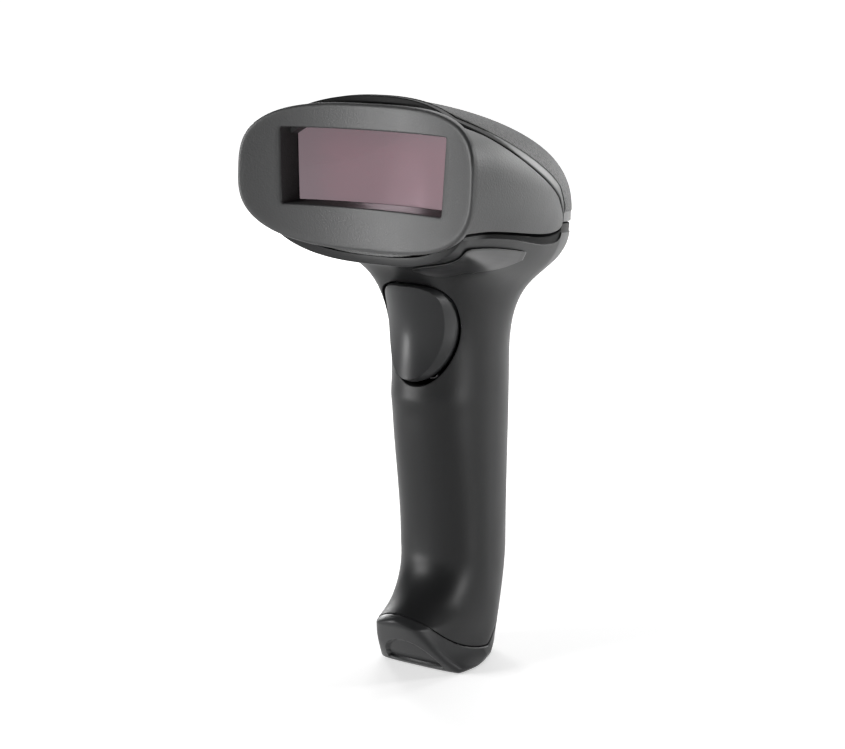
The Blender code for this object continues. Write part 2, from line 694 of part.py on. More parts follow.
def make_bottom_cap(root):
    count = 48
    thetas = [2 * math.pi * k / count for k in range(count)]
    ends = [grip_end(t, SEAM) for t in thetas]
    hollow_rim = [cap_hollow_point(t, e) for t, e in zip(thetas, ends)]
    for point in hollow_rim:
        point[2] = seam_height(point[1]) - SEAM
    rings = [[cap_hollow_point(t, CAP_FLOOR) for t in thetas], hollow_rim]
    for share in (1.0, 0.6, 0.3):
        rings.append([grip_point(t, SOLE_ROUND + (e - SOLE_ROUND) * share) for t, e in zip(thetas, ends)])
    for k in range(1, 4):
        turn = math.pi / 2 * k / 3
        ring = [grip_point(t, SOLE_ROUND, SOLE_ROUND * (1 - math.cos(turn))) for t in thetas]
        rings.append([np.array((p[0], p[1], SOLE_ROUND * (1 - math.sin(turn)))) for p in ring])
    points = [p for ring in rings for p in ring]
    faces = loop_faces(len(rings), count)[:(len(rings) - 1) * count]
    faces.append(tuple(range(count)))
    faces.append(tuple((len(rings) - 1) * count + k for k in range(count)))
    cap = solid(points, faces, "bottom_cap", "charcoal", root)

    lean = math.atan(FACE_SLOPE)
    front = cuboid("toe_cut", (-HEAD_HALF_WIDTH, -HEAD_HALF_WIDTH, -CUT_MARGIN),
                   (HEAD_HALF_WIDTH, 0.0, WAIST_Z + CUT_MARGIN), "charcoal", root)
    front.location = (0.0, FACE_FOOT_Y, 0.0)
    front.rotation_euler = (lean, 0.0, 0.0)
    combine(cap, front, "DIFFERENCE")

    arc = [(RECESS_HALF_WIDTH * math.cos(a), RECESS_HEIGHT * math.sin(a))
           for a in np.linspace(0.0, math.pi, 17)]
    arc += [(-RECESS_HALF_WIDTH, -CUT_MARGIN), (RECESS_HALF_WIDTH, -CUT_MARGIN)]
    recess = prism(arc, -CUT_MARGIN, RECESS_DEPTH, "toe_recess", "charcoal", root, "Y")
    recess.location = (0.0, FACE_FOOT_Y, 0.0)
    recess.rotation_euler = (lean, 0.0, 0.0)
    combine(cap, recess, "DIFFERENCE")

    back = BOARD_FRONT_Y - GAP
    mouth = cuboid("socket_mouth", (-SOCKET_HALF_WIDTH - GAP, back - SOCKET_DEPTH - GAP, -CUT_MARGIN),
                   (SOCKET_HALF_WIDTH + GAP, back + GAP, CUT_MARGIN), "charcoal", root)
    combine(cap, mouth, "DIFFERENCE")


def make_cable_socket(root):
    back = BOARD_FRONT_Y - GAP
    front = back - SOCKET_DEPTH
    body = cuboid("cable_socket", (-SOCKET_HALF_WIDTH, front, SOCKET_LOW_Z),
                  (SOCKET_HALF_WIDTH, back, SOCKET_LOW_Z + SOCKET_HEIGHT), "black_plastic", root)
    rim = (SOCKET_DEPTH - SOCKET_MOUTH_DEPTH) / 2
    bore = cuboid("socket_bore", (-SOCKET_MOUTH_HALF_WIDTH, front + rim, -CUT_MARGIN),
                  (SOCKET_MOUTH_HALF_WIDTH, back - rim, SOCKET_LOW_Z + SOCKET_BORE), "black_plastic", root)
    combine(body, bore, "DIFFERENCE")


# Head shells

def make_top_cover(root):
    tip = CHEEK_TIP_Y + SEAM
    across = np.linspace(0.0, 1.0, 23)
    outer, normals = [], []
    for y in stations(HEAD_TAIL_Y, tip):
        edge, _ = cheek_edges(y, SEAM)
        row, row_normals = [], []
        for share in across:
            phi = edge + (math.pi - 2 * edge) * share
            p = head_point(y, phi)
            p[1] += head_front_shift(y, p[0], p[2], RIM_DEPTH + EDGE_GROOVE)
            row.append(p)
            row_normals.append(head_normal(y, phi))
        outer.append(row)
        normals.append(row_normals)
    outer = np.array(outer)
    outer[-1, :] = head_point(HEAD_TAIL_Y, 0.0)
    inner = outer - np.array(normals) * HEAD_WALL
    cover = patch_solid(outer, inner, "top_cover", "textured_black", root)
    slot = light_slot(GAP, "lens_slot", root)
    combine(cover, slot, "DIFFERENCE")


def light_centre_y():
    return BASE_BACK_Y + GAP + BOARD_THICKNESS + GAP + LED_HALF


def light_slot(extra, name, root):
    y = light_centre_y()
    low = BASE_Z + ENGINE_BOARD_HEIGHT + GAP
    high = head_point(y, math.pi / 2)[2] + (CUT_MARGIN if extra else 0.0)
    return cuboid(name, (-LENS_SLOT_HALF_LENGTH - extra, y - LENS_SLOT_HALF_WIDTH - extra, low),
                  (LENS_SLOT_HALF_LENGTH + extra, y + LENS_SLOT_HALF_WIDTH + extra, high), "clear", root)


def cheek_patch(side, root):
    rows, normals = [], []
    for y in stations(CHEEK_TIP_Y, CHEEK_TIP_Y):
        top, low = cheek_edges(y)
        row, row_normals = [], []
        for share in np.linspace(0.0, 1.0, 9):
            phi = low + (top - low) * share
            p = head_point(y, phi)
            p[1] += head_front_shift(y, p[0], p[2], RIM_DEPTH / 2)
            row.append(p)
            row_normals.append(head_normal(y, phi))
        rows.append(row)
        normals.append(row_normals)
    flip = np.array((side, 1.0, 1.0))
    outer = np.array(rows)
    inner = outer - np.array(normals) * HEAD_WALL
    name = "cheek_right" if side > 0 else "cheek_left"
    return patch_solid(outer * flip, inner * flip, name, "satin_grey", root)


def window_corner(x_sign, z_sign, outset):
    half = WINDOW_HALF_TOP if z_sign > 0 else WINDOW_HALF_BOTTOM
    return np.array((x_sign * (half + outset), WINDOW_Z + z_sign * (WINDOW_HALF_HEIGHT + outset)))


def window_outline(outset, long_count=12, short_count=8):
    """The window's four-sided outline as (x, z) points, starting at its lower right corner."""
    corners = [window_corner(1, -1, outset), window_corner(1, 1, outset),
               window_corner(-1, 1, outset), window_corner(-1, -1, outset)]
    counts = [short_count, long_count, short_count, long_count]
    points = []
    for k, count in enumerate(counts):
        a, b = corners[k], corners[(k + 1) % 4]
        points += [a + (b - a) * i / count for i in range(count)]
    return np.array(points)


def oval_outline(half_width, rise, drop, roundness, centre_z):
    """Points of an oval that lie in the same directions from the window's middle as its outline's."""
    points = []
    for x, z in window_outline(0.0):
        direction = unit(np.array((x, z - WINDOW_Z)))
        low, high = 0.0, half_width * 2
        for _ in range(40):
            reach = (low + high) / 2
            px, pz = direction[0] * reach, WINDOW_Z + direction[1] * reach - centre_z
            depth = rise if pz > 0 else drop
            inside = abs(px / half_width) ** roundness + abs(pz / depth) ** roundness < 1
            low, high = (reach, high) if inside else (low, reach)
        points.append((direction[0] * low, WINDOW_Z + direction[1] * low))
    return np.array(points)


def pane_y(z):
    """The end of the window's tunnel, which leans back towards its foot."""
    return FACE_Y + WINDOW_DEPTH + (WINDOW_Z - z) * PANE_LEAN


def make_front_bezel(root):
    half, rise, drop = BEZEL_HALF_WIDTH, BEZEL_HALF_HEIGHT, BEZEL_HALF_HEIGHT

    def rim(inset):
        return oval_outline(half - inset, rise - inset, drop - inset, BEZEL_ROUNDNESS, BEZEL_Z)

    def skirt(inset, depth):
        half_width, axis, over, _ = head_section(FACE_Y + depth)
        under = axis - HEAD_AXIS_FRONT_Z + HEAD_DROP
        nest = max(HEAD_WALL, GRIP_WALL) + GAP + inset
        return oval_outline(half_width - nest, over - nest, under - nest, HEAD_ROUNDNESS, axis)

    def on_face(outline, depth):
        return np.array([(x, face_y(x, z) + depth, z) for x, z in outline])

    def at_tunnel_end(outline):
        return np.array([(x, pane_y(z), z) for x, z in outline])

    opening = window_outline(0.0)
    throat = window_outline(-TUNNEL_DRAFT)
    tunnel_outside = window_outline(TUNNEL_WALL - TUNNEL_DRAFT)
    fillet = RIM_FILLET * (1 - math.sqrt(0.5))
    loops = [
        on_face(opening, 0.0),
        on_face((opening + rim(RIM_FILLET)) / 2, 0.0),
        on_face(rim(RIM_FILLET), 0.0),
        on_face(rim(fillet), fillet),
        on_face(rim(0.0), RIM_FILLET),
        on_face(rim(0.0), RIM_DEPTH),
        on_face(skirt(0.0, RIM_DEPTH), RIM_DEPTH),
        on_face(skirt(0.0, SKIRT_DEPTH), SKIRT_DEPTH),
        on_face(skirt(SKIRT_WALL, SKIRT_DEPTH), SKIRT_DEPTH),
        on_face(skirt(SKIRT_WALL, PLATE_DEPTH), PLATE_DEPTH),
        on_face(tunnel_outside, PLATE_DEPTH),
        at_tunnel_end(tunnel_outside),
        at_tunnel_end(throat),
    ]
    grid = np.array(loops)
    bezel = solid(grid.reshape(-1, 3), loop_faces(*grid.shape[:2]), "front_bezel", "satin_grey", root)
    for side in (1.0, -1.0):
        combine(bezel, cheek_patch(side, root), "UNION")


def make_window(root):
    def slab(outline, front):
        return np.array([(x, pane_y(z) + front, z) for x, z in outline])

    edge = window_outline(TUNNEL_WALL - TUNNEL_DRAFT)
    inner_edge = window_outline(-TUNNEL_DRAFT)
    front = GAP / 2
    back = front + GASKET_THICKNESS
    ring = np.array([slab(edge, front), slab(edge, back), slab(inner_edge, back), slab(inner_edge, front)])
    solid(ring.reshape(-1, 3), loop_faces(*ring.shape[:2]), "window_gasket", "rubber", root)

    count = len(edge)
    pane_front = back + GAP
    points = list(slab(edge, pane_front)) + list(slab(edge, pane_front + PANE_THICKNESS))
    faces = [(k, (k + 1) % count, count + (k + 1) % count, count + k) for k in range(count)]
    faces += [tuple(range(count)), tuple(range(count, 2 * count))]
    solid(points, faces, "window_pane", "window_red", root)


def make_label(outer, thetas, root):
    """A leaf-shaped plate that lies on the right of the neck, between two of its upright lines."""
    half = outer.shape[1] // 2 + 1
    thetas = thetas[:half]
    flare = outer[1:FLARE_RINGS + 1, :half]
    normals = grid_normals(flare)
    if normals[4, 4, 2] > 0:
        normals = -normals

    def on_skin(values, theta, level):
        column = np.interp(theta, thetas, np.arange(half))
        row = level * (flare.shape[0] - 1)
        i, k = int(min(row, flare.shape[0] - 2)), int(min(column, half - 2))
        a, b = row - i, column - k
        return ((1 - a) * (1 - b) * values[i, k] + (1 - a) * b * values[i, k + 1]
                + a * (1 - b) * values[i + 1, k] + a * b * values[i + 1, k + 1])

    grid, lift = [], []
    for share in np.linspace(0.0, 1.0, 15):
        theta = LABEL_FROM + (LABEL_TO - LABEL_FROM) * share
        spread = LABEL_HALF_LEVEL * (0.12 + 0.88 * math.sin(math.pi * share) ** 0.6)
        row, row_lift = [], []
        for k in np.linspace(-1.0, 1.0, 5):
            level = LABEL_LEVEL + spread * k
            row.append(on_skin(flare, theta, level))
            row_lift.append(unit(on_skin(normals, theta, level)))
        grid.append(row)
        lift.append(row_lift)
    grid, lift = np.array(grid), np.array(lift)
    inner = grid + lift * LABEL_STAND_OFF
    patch_solid(inner + lift * LABEL_THICKNESS, inner, "label_plate", "label_black", root)


# Trigger and switch

def trigger_half_width(z):
    height = TRIGGER_HALF_HEIGHT - TRIGGER_SIDE_GAP
    roundness = TRIGGER_TOP_ROUNDNESS
    if z < TRIGGER_Z:
        height -= TRIGGER_FOOT_GAP - TRIGGER_SIDE_GAP
        roundness = TRIGGER_LOW_ROUNDNESS
    t = clamp(abs(z - TRIGGER_Z) / height)
    return (TRIGGER_HALF_WIDTH - TRIGGER_SIDE_GAP) * (1 - t ** roundness) ** (1 / roundness)


def trigger_front(x, z):
    """The trigger's finger side: a scoop between two flanks, under a brow."""
    height = (z - TRIGGER_Z) / TRIGGER_HALF_HEIGHT
    reach = TRIGGER_FRONT + TRIGGER_BROW * max(height, 0.0) ** 2
    pad = clamp(1 - (x / TRIGGER_PAD) ** 2)
    reach -= TRIGGER_SCOOP * pad * clamp(1 - height ** 4)
    flank = max(abs(x) - TRIGGER_PAD, 0.0) / (TRIGGER_HALF_WIDTH - TRIGGER_PAD)
    return -(reach - TRIGGER_FLANK * flank ** 1.5)


def nib_height():
    return PIVOT_Z - NIB_DROP


def make_trigger(root):
    pivot = bpy.data.objects.new("trigger_pivot", None)
    bpy.context.scene.collection.objects.link(pivot)
    pivot.parent = root
    pivot.location = (0.0, PIVOT_Y, PIVOT_Z)

    low = TRIGGER_Z - TRIGGER_HALF_HEIGHT + TRIGGER_FOOT_GAP
    high = TRIGGER_Z + TRIGGER_HALF_HEIGHT - TRIGGER_SIDE_GAP
    front, back = [], []
    for turn in np.linspace(-math.pi / 2, math.pi / 2, 15):
        share = (1 + math.sin(turn)) / 2
        z = low + (high - low) * (END_TRIM + (1 - 2 * END_TRIM) * share)
        half = trigger_half_width(z)
        row = [(x, trigger_front(x, z), z) for x in np.linspace(-half, half, 15)]
        front.append(row)
        back.append([(x, -TRIGGER_BACK, z) for x, _, z in row])
    shift = np.array((0.0, PIVOT_Y, PIVOT_Z))
    trigger = patch_solid(np.array(front) - shift, np.array(back) - shift, "trigger", "charcoal", pivot)

    inside = -TRIGGER_BACK - JOIN_SINK - PIVOT_Y
    ear = cuboid("trigger_ear", (-KNUCKLE_HALF_LENGTH, inside, -EAR_HALF_HEIGHT),
                 (KNUCKLE_HALF_LENGTH, 0.0, EAR_HALF_HEIGHT), "charcoal", pivot)
    combine(trigger, ear, "UNION")
    knuckle = rod("trigger_knuckle", KNUCKLE_RADIUS, (-KNUCKLE_HALF_LENGTH, 0, 0), (1, 0, 0),
                  2 * KNUCKLE_HALF_LENGTH, "charcoal", pivot, 24)
    combine(trigger, knuckle, "UNION")
    nib = rod("trigger_nib", NIB_RADIUS, (0, inside, -NIB_DROP), (0, 1, 0),
              NIB_END_Y - PIVOT_Y - inside, "charcoal", pivot)
    combine(trigger, nib, "UNION")
    bore = rod("trigger_bore", PIN_RADIUS + RUNNING, (-CUT_MARGIN, 0, 0), (1, 0, 0), 2 * CUT_MARGIN,
               "charcoal", pivot, 24)
    combine(trigger, bore, "DIFFERENCE")


def make_trigger_pin(inner, root):
    half = pin_half_length(inner)
    rod("trigger_pin", PIN_RADIUS, (-half, PIVOT_Y, PIVOT_Z), (1, 0, 0), 2 * half, "steel", root, 24)


def make_trigger_spring(root):
    """A round wire wound in even turns between the trigger's back and the board, under the switch."""
    start = -TRIGGER_BACK + GAP + SPRING_WIRE
    end = BOARD_FRONT_Y - GAP - SPRING_WIRE
    height = nib_height() - SWITCH_HALF - SPRING_RADIUS - SPRING_WIRE - SPRING_CLEARANCE
    steps = SPRING_TURNS * 10
    sides = 6
    points = []
    for i in range(steps + 1):
        turn = 2 * math.pi * SPRING_TURNS * i / steps
        hub = Vector((SPRING_RADIUS * math.cos(turn), start + (end - start) * i / steps,
                      height + SPRING_RADIUS * math.sin(turn)))
        out = Vector((math.cos(turn), 0, math.sin(turn)))
        for k in range(sides):
            angle = 2 * math.pi * k / sides
            points.append(hub + SPRING_WIRE * (math.cos(angle) * out + math.sin(angle) * Vector((0, 1, 0))))
    faces = []
    for i in range(steps):
        for k in range(sides):
            j = (k + 1) % sides
            faces.append((i * sides + k, i * sides + j, (i + 1) * sides + j, (i + 1) * sides + k))
    faces += [tuple(range(sides)), tuple(range(steps * sides, (steps + 1) * sides))]
    solid(points, faces, "trigger_spring", "steel", root)


def make_switch(root):
    back = BOARD_FRONT_Y - GAP
    front = back - SWITCH_DEPTH
    height = nib_height()
    body = cuboid("switch_body", (-SWITCH_HALF, front, height - SWITCH_HALF),
                  (SWITCH_HALF, back, height + SWITCH_HALF), "black_plastic", root)
    well = rod("switch_well", PLUNGER_RADIUS + RUNNING, (0, front - CUT_MARGIN, height), (0, 1, 0),
               CUT_MARGIN + PLUNGER_SEAT + PLUNGER_TRAVEL, "black_plastic", root)
    combine(body, well, "DIFFERENCE")
    carrier = bpy.data.objects.new("plunger_guide", None)
    bpy.context.scene.collection.objects.link(carrier)
    carrier.parent = root
    carrier.location = (0.0, front, height)
    tip = NIB_END_Y + GAP - front
    rod("switch_plunger", PLUNGER_RADIUS, (0, tip, 0), (0, 1, 0), PLUNGER_SEAT - tip, "steel", carrier)


# Electronics in the grip

def make_main_board(inner, root):
    levels = np.linspace(BOARD_LOW_Z, BOARD_TOP_Z, 24)
    back = BOARD_FRONT_Y + BOARD_THICKNESS
    half = min(inner_half_width(inner, y, z) for z in levels for y in (BOARD_FRONT_Y, back))
    half -= 2 * GAP
    cuboid("main_board", (-half, BOARD_FRONT_Y, BOARD_LOW_Z), (half, back, BOARD_TOP_Z), "board_green", root)
    front = BOARD_FRONT_Y - GAP
    cuboid("decoder_chip", (-CHIP_HALF, front - CHIP_THICKNESS, CHIP_Z - CHIP_HALF),
           (CHIP_HALF, front, CHIP_Z + CHIP_HALF), "black_plastic", root)
    rod("supply_capacitor", CAPACITOR_RADIUS, (0, front, CAPACITOR_Z), (0, -1, 0), CAPACITOR_LENGTH,
        "aluminium", root)
    rod("beeper", BEEPER_RADIUS, (0, back + GAP, BEEPER_Z), (0, 1, 0), BEEPER_DEPTH, "black_plastic", root)


# Deck and scan engine

def make_deck(inner, root):
    outline = [skin_place(inner, k, DECK_Z, GAP) for k in range(inner.shape[1])]
    deck = prism(outline, DECK_Z, DECK_Z + DECK_THICKNESS, "inner_deck", "black_plastic", root)
    slot = cuboid("deck_slot", (-DECK_SLOT_HALF_WIDTH, DECK_SLOT_FRONT_Y, DECK_Z - CUT_MARGIN),
                  (DECK_SLOT_HALF_WIDTH, DECK_SLOT_BACK_Y, DECK_Z + CUT_MARGIN), "black_plastic", root)
    combine(deck, slot, "DIFFERENCE")
    top = DECK_Z + DECK_THICKNESS
    for side, x in (("left", -BOSS_X), ("right", BOSS_X)):
        hole = rod("deck_hole_" + side, SCREW_RADIUS + GAP, (x, BOSS_Y, DECK_Z - CUT_MARGIN), (0, 0, 1),
                   2 * CUT_MARGIN, "black_plastic", root)
        combine(deck, hole, "DIFFERENCE")
        screw("deck_screw_" + side, x, BOSS_Y, top + GAP, root)


def screw(name, x, y, seat_z, root):
    """A pan head on a plain shank, driven down through seat_z."""
    profile = [(-SCREW_LENGTH, SCREW_RADIUS), (0.0, SCREW_RADIUS), (0.0, SCREW_HEAD_RADIUS),
               (SCREW_HEAD_HEIGHT * 0.6, SCREW_HEAD_RADIUS), (SCREW_HEAD_HEIGHT, SCREW_HEAD_RADIUS * 0.7)]
    turned(name, profile, (x, y, seat_z), (0, 0, 1), "steel", root, 16)


def standoff_places(inner):
    """Where the posts stand: the front two as far apart as the hollow allows on the deck."""
    inset = STANDOFF_RADIUS + STANDOFF_EDGE
    front = BASE_FRONT_Y + inset
    hollow = inner_half_width(inner, front - STANDOFF_RADIUS, DECK_Z + DECK_THICKNESS)
    x = hollow - STANDOFF_RADIUS - STANDOFF_CLEARANCE
    return {"left": (-x, front), "right": (x, front), "rear": (REAR_STANDOFF_X, BASE_BACK_Y - inset)}


def make_engine_base(inner, root):
    base_top = BASE_Z + BASE_THICKNESS
    base = cuboid("engine_base", (-BASE_HALF_WIDTH, BASE_FRONT_Y, BASE_Z),
                  (BASE_HALF_WIDTH, BASE_BACK_Y, base_top), "aluminium", root)
    low = DECK_Z + DECK_THICKNESS + GAP
    for name, (x, y) in standoff_places(inner).items():
        hole = rod("base_hole_" + name, SCREW_RADIUS + GAP, (x, y, BASE_Z - CUT_MARGIN), (0, 0, 1),
                   2 * CUT_MARGIN, "aluminium", root)
        combine(base, hole, "DIFFERENCE")
        post = rod("engine_standoff_" + name, STANDOFF_RADIUS, (x, y, low), (0, 0, 1), BASE_Z - GAP - low,
                   "brass", root)
        pilot = rod("standoff_pilot_" + name, SCREW_RADIUS + RUNNING, (x, y, BASE_Z - SCREW_LENGTH),
                    (0, 0, 1), CUT_MARGIN, "brass", root)
        combine(post, pilot, "DIFFERENCE")
        screw("engine_screw_" + name, x, y, base_top + GAP, root)


def make_laser(root):
    seat = BASE_Z + BASE_THICKNESS + GAP
    block_x = LASER_X + LASER_BLOCK_SETBACK
    crest = BEAM_Z + LASER_RADIUS + LASER_BLOCK_CROWN
    block = cuboid("laser_block", (block_x, BEAM_Y - LASER_BLOCK_HALF, seat),
                   (block_x + LASER_BLOCK_LENGTH, BEAM_Y + LASER_BLOCK_HALF, crest), "aluminium", root)
    bore = rod("laser_bore", LASER_RADIUS + GAP, (LASER_X - CUT_MARGIN, BEAM_Y, BEAM_Z), (1, 0, 0),
               3 * CUT_MARGIN, "aluminium", root, 24)
    combine(block, bore, "DIFFERENCE")
    rod("laser_barrel", LASER_RADIUS, (LASER_X, BEAM_Y, BEAM_Z), (1, 0, 0), LASER_LENGTH, "brass", root, 24)
    crown = [(0.0, LENS_RADIUS), (LENS_THICKNESS * 0.5, LENS_RADIUS),
             (LENS_THICKNESS * 0.8, LENS_RADIUS * 0.7), (LENS_THICKNESS, LENS_RADIUS * 0.3)]
    turned("laser_lens", crown, (LASER_X + LASER_LENGTH + GAP, BEAM_Y, BEAM_Z), (1, 0, 0), "clear", root)


def make_collector(root):
    seat = BASE_Z + BASE_THICKNESS + GAP
    back_x = COLLECTOR_X
    middle_y = (COLLECTOR_FRONT_Y + COLLECTOR_BACK_Y) / 2
    middle_z = seat + COLLECTOR_HEIGHT / 2
    bowl, plate = [], []
    for z in np.linspace(seat, seat + COLLECTOR_HEIGHT, 9):
        row = []
        for y in np.linspace(COLLECTOR_FRONT_Y, COLLECTOR_BACK_Y, 9):
            away = math.hypot((y - middle_y) / (COLLECTOR_BACK_Y - middle_y),
                              (z - middle_z) / (COLLECTOR_HEIGHT / 2))
            row.append((back_x + COLLECTOR_THICKNESS - COLLECTOR_HOLLOW * clamp(1 - away * away), y, z))
        bowl.append(row)
        plate.append([(back_x, y, z) for _, y, z in row])
    collector = patch_solid(np.array(bowl), np.array(plate), "collecting_mirror", "mirror", root)
    hole = rod("collector_hole", COLLECTOR_HOLE_RADIUS, (back_x - CUT_MARGIN, BEAM_Y, BEAM_Z), (1, 0, 0),
               2 * CUT_MARGIN, "mirror", root)
    combine(collector, hole, "DIFFERENCE")


def make_scan_mirror(root):
    seat = BASE_Z + BASE_THICKNESS + GAP
    rod("mirror_shaft", SHAFT_RADIUS, (MIRROR_X, BEAM_Y, seat), (0, 0, 1), SHAFT_HEIGHT, "steel", root, 24)
    swing = bpy.data.objects.new("mirror_swing", None)
    bpy.context.scene.collection.objects.link(swing)
    swing.parent = root
    swing.location = (MIRROR_X, BEAM_Y, BEAM_Z)
    swing.rotation_euler = (0.0, 0.0, MIRROR_TURN)
    ring_tube("mirror_hub", HUB_RADIUS, SHAFT_RADIUS + RUNNING, (0, 0, -HUB_HALF_HEIGHT), (0, 0, 1),
              2 * HUB_HALF_HEIGHT, "black_plastic", swing)
    front = -HUB_RADIUS - GAP
    cuboid("scan_mirror", (-MIRROR_HALF_WIDTH, front - MIRROR_THICKNESS, -MIRROR_HALF_HEIGHT),
           (MIRROR_HALF_WIDTH, front, MIRROR_HALF_HEIGHT), "mirror", swing)
    back = HUB_RADIUS + GAP
    cuboid("mirror_magnet", (-MAGNET_HALF, back, -MAGNET_HALF),
           (MAGNET_HALF, back + MAGNET_LENGTH, MAGNET_HALF), "steel", swing)

    facing = Matrix.Rotation(MIRROR_TURN, 3, "Z") @ Vector((0, 1, 0))
    start = Vector((MIRROR_X, BEAM_Y, BEAM_Z)) + facing * (back + MAGNET_LENGTH + COIL_AIR_GAP)
    ring_tube("drive_coil", COIL_OUTER, COIL_INNER, start, facing, COIL_LENGTH, "copper", root)
    middle = start + facing * (COIL_LENGTH / 2)
    saddle = cuboid("coil_bracket", (-COIL_OUTER, -COIL_LENGTH / 2, seat - BEAM_Z),
                    (COIL_OUTER, COIL_LENGTH / 2, -COIL_OUTER * 0.5), "black_plastic", root)
    saddle.location = middle
    saddle.rotation_euler = (0.0, 0.0, MIRROR_TURN)
    groove = rod("coil_groove", COIL_OUTER + GAP, start - facing * CUT_MARGIN, facing, 2 * CUT_MARGIN,
                 "black_plastic", root, 24)
    combine(saddle, groove, "DIFFERENCE")


def make_detector(root):
    seat = BASE_Z + BASE_THICKNESS + GAP
    x = BASE_HALF_WIDTH - DETECTOR_INBOARD
    cuboid("detector_board", (x, DETECTOR_Y - 2 * DETECTOR_HALF, seat),
           (x + DETECTOR_BOARD_THICKNESS, DETECTOR_Y + 2 * DETECTOR_HALF, seat + DETECTOR_BOARD_HEIGHT),
           "board_green", root)
    middle = seat + DETECTOR_BOARD_HEIGHT / 2
    cuboid("photodetector",
           (x - GAP - DETECTOR_THICKNESS, DETECTOR_Y - DETECTOR_HALF, middle - DETECTOR_HALF),
           (x - GAP, DETECTOR_Y + DETECTOR_HALF, middle + DETECTOR_HALF), "black_plastic", root)


def make_engine_board(root):
    front = BASE_BACK_Y + GAP
    back = front + BOARD_THICKNESS
    top = BASE_Z + ENGINE_BOARD_HEIGHT
    cuboid("engine_board", (-ENGINE_BOARD_HALF_WIDTH, front, BASE_Z), (ENGINE_BOARD_HALF_WIDTH, back, top),
           "board_green", root)
    y = light_centre_y()
    cuboid("status_led", (-LED_HALF, y - LED_HALF, top - LED_HEIGHT), (LED_HALF, y + LED_HALF, top),
           "clear", root)
    light_slot(0.0, "light_pipe", root)
    make_ribbon(back, root)


def make_ribbon(engine_back, root):
    """A flat flex that leaves the engine board's back, drops through the deck's slot and ends on the
    main board's back."""
    board_back = BOARD_FRONT_Y + BOARD_THICKNESS
    lie = GAP + RIBBON_THICKNESS / 2
    slot_y = (DECK_SLOT_FRONT_Y + DECK_SLOT_BACK_Y) / 2
    deck_top = DECK_Z + DECK_THICKNESS
    route = [(engine_back + lie, BASE_Z + RIBBON_TAB), (engine_back + lie, BASE_Z - JOIN_SINK),
             (slot_y, deck_top + RIBBON_TAB / 2), (slot_y, DECK_Z - RIBBON_TAB / 2),
             (board_back + lie, BOARD_TOP_Z), (board_back + lie, BOARD_TOP_Z - RIBBON_TAB)]
    route = np.array(route)
    along = unit(np.gradient(route, axis=0))
    side = np.stack([along[:, 1], -along[:, 0]], axis=1) * (RIBBON_THICKNESS / 2)
    outline = list(map(tuple, route + side)) + list(map(tuple, (route - side)[::-1]))
    prism(outline, -RIBBON_HALF_WIDTH, RIBBON_HALF_WIDTH, "ribbon_cable", "flex_orange", root, "X")


# Assembly

def build():
    clear_scene()
    root = bpy.data.objects.new("scanner", None)
    bpy.context.scene.collection.objects.link(root)
    root.location = (0.0, -(face_y(BEZEL_HALF_WIDTH - RIM_FILLET, BEZEL_Z) + HEAD_TAIL_Y) / 2, 0.0)
    outer, inner, thetas = make_handle(root)
    make_bottom_cap(root)
    make_cable_socket(root)
    make_trigger(root)
    make_trigger_pin(inner, root)
    make_trigger_spring(root)
    make_switch(root)
    make_main_board(inner, root)
    make_deck(inner, root)
    make_engine_base(inner, root)
    make_laser(root)
    make_collector(root)
    make_scan_mirror(root)
    make_detector(root)
    make_engine_board(root)
    make_front_bezel(root)
    make_window(root)
    make_top_cover(root)
    make_label(outer, thetas, root)


build()
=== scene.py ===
from math import copysign, cos, exp, pi, radians, sin, sqrt

import bpy
import numpy as np
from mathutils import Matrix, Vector


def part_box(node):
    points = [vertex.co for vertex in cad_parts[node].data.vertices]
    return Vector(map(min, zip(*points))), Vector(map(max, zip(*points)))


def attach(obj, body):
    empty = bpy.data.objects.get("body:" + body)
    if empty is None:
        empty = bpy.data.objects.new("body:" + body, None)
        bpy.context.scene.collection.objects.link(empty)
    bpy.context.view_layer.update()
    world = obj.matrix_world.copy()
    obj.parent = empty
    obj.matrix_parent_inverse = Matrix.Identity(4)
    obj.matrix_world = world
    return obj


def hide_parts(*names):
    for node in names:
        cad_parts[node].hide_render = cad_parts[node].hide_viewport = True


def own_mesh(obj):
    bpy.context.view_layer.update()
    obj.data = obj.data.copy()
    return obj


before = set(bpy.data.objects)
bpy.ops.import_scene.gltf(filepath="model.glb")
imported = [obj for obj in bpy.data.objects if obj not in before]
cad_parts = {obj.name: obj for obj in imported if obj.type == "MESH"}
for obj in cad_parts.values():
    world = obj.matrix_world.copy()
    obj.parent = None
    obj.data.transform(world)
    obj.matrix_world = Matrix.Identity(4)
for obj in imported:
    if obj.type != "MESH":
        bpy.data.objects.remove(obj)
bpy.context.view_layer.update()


# Grip and neck: one hollow shell of charcoal plastic, moulded with a fine satin grain. It flares from
# the grip into the rim that carries the head, and its front has a round-footed mouth for the trigger.
GRIP_WALL = 0.0022
GRIP_HALF_WIDTH = 0.0130
GRIP_BACK = 0.0182
GRIP_ROUNDNESS = 2.3
WAIST_Z = 0.032
WAIST_FRONT = 0.0126
CHEST_Z = 0.075
CHEST_FRONT = 0.0174
RIDGE_Z = 0.0746
RIDGE_HEIGHT = 0.0006
RIDGE_WIDTH = 0.0030
NECK_Z = 0.083
NECK_HALF_WIDTH = 0.0139
TOE_HEIGHT = 0.014
TOE_REACH = 0.0124
TOE_POWER = 2.3
TOE_ROUNDNESS = 1.7
SOLE_ROUNDNESS = 2.6
TOE_TIP_Z = 0.018
HEEL_TOP_Z = 0.030
HEEL_HEIGHT = 0.020
HEEL_TAPER = 0.0036
HEEL_POWER = 1.5
FLANK_TAPER = 0.0010
SOLE_FLARE = 0.0040
SOLE_FLARE_HEIGHT = 0.0090
FLARE_BACK = -0.6
FLARE_BLEND = 0.8
HEEL_SEAM_Y = 0.016
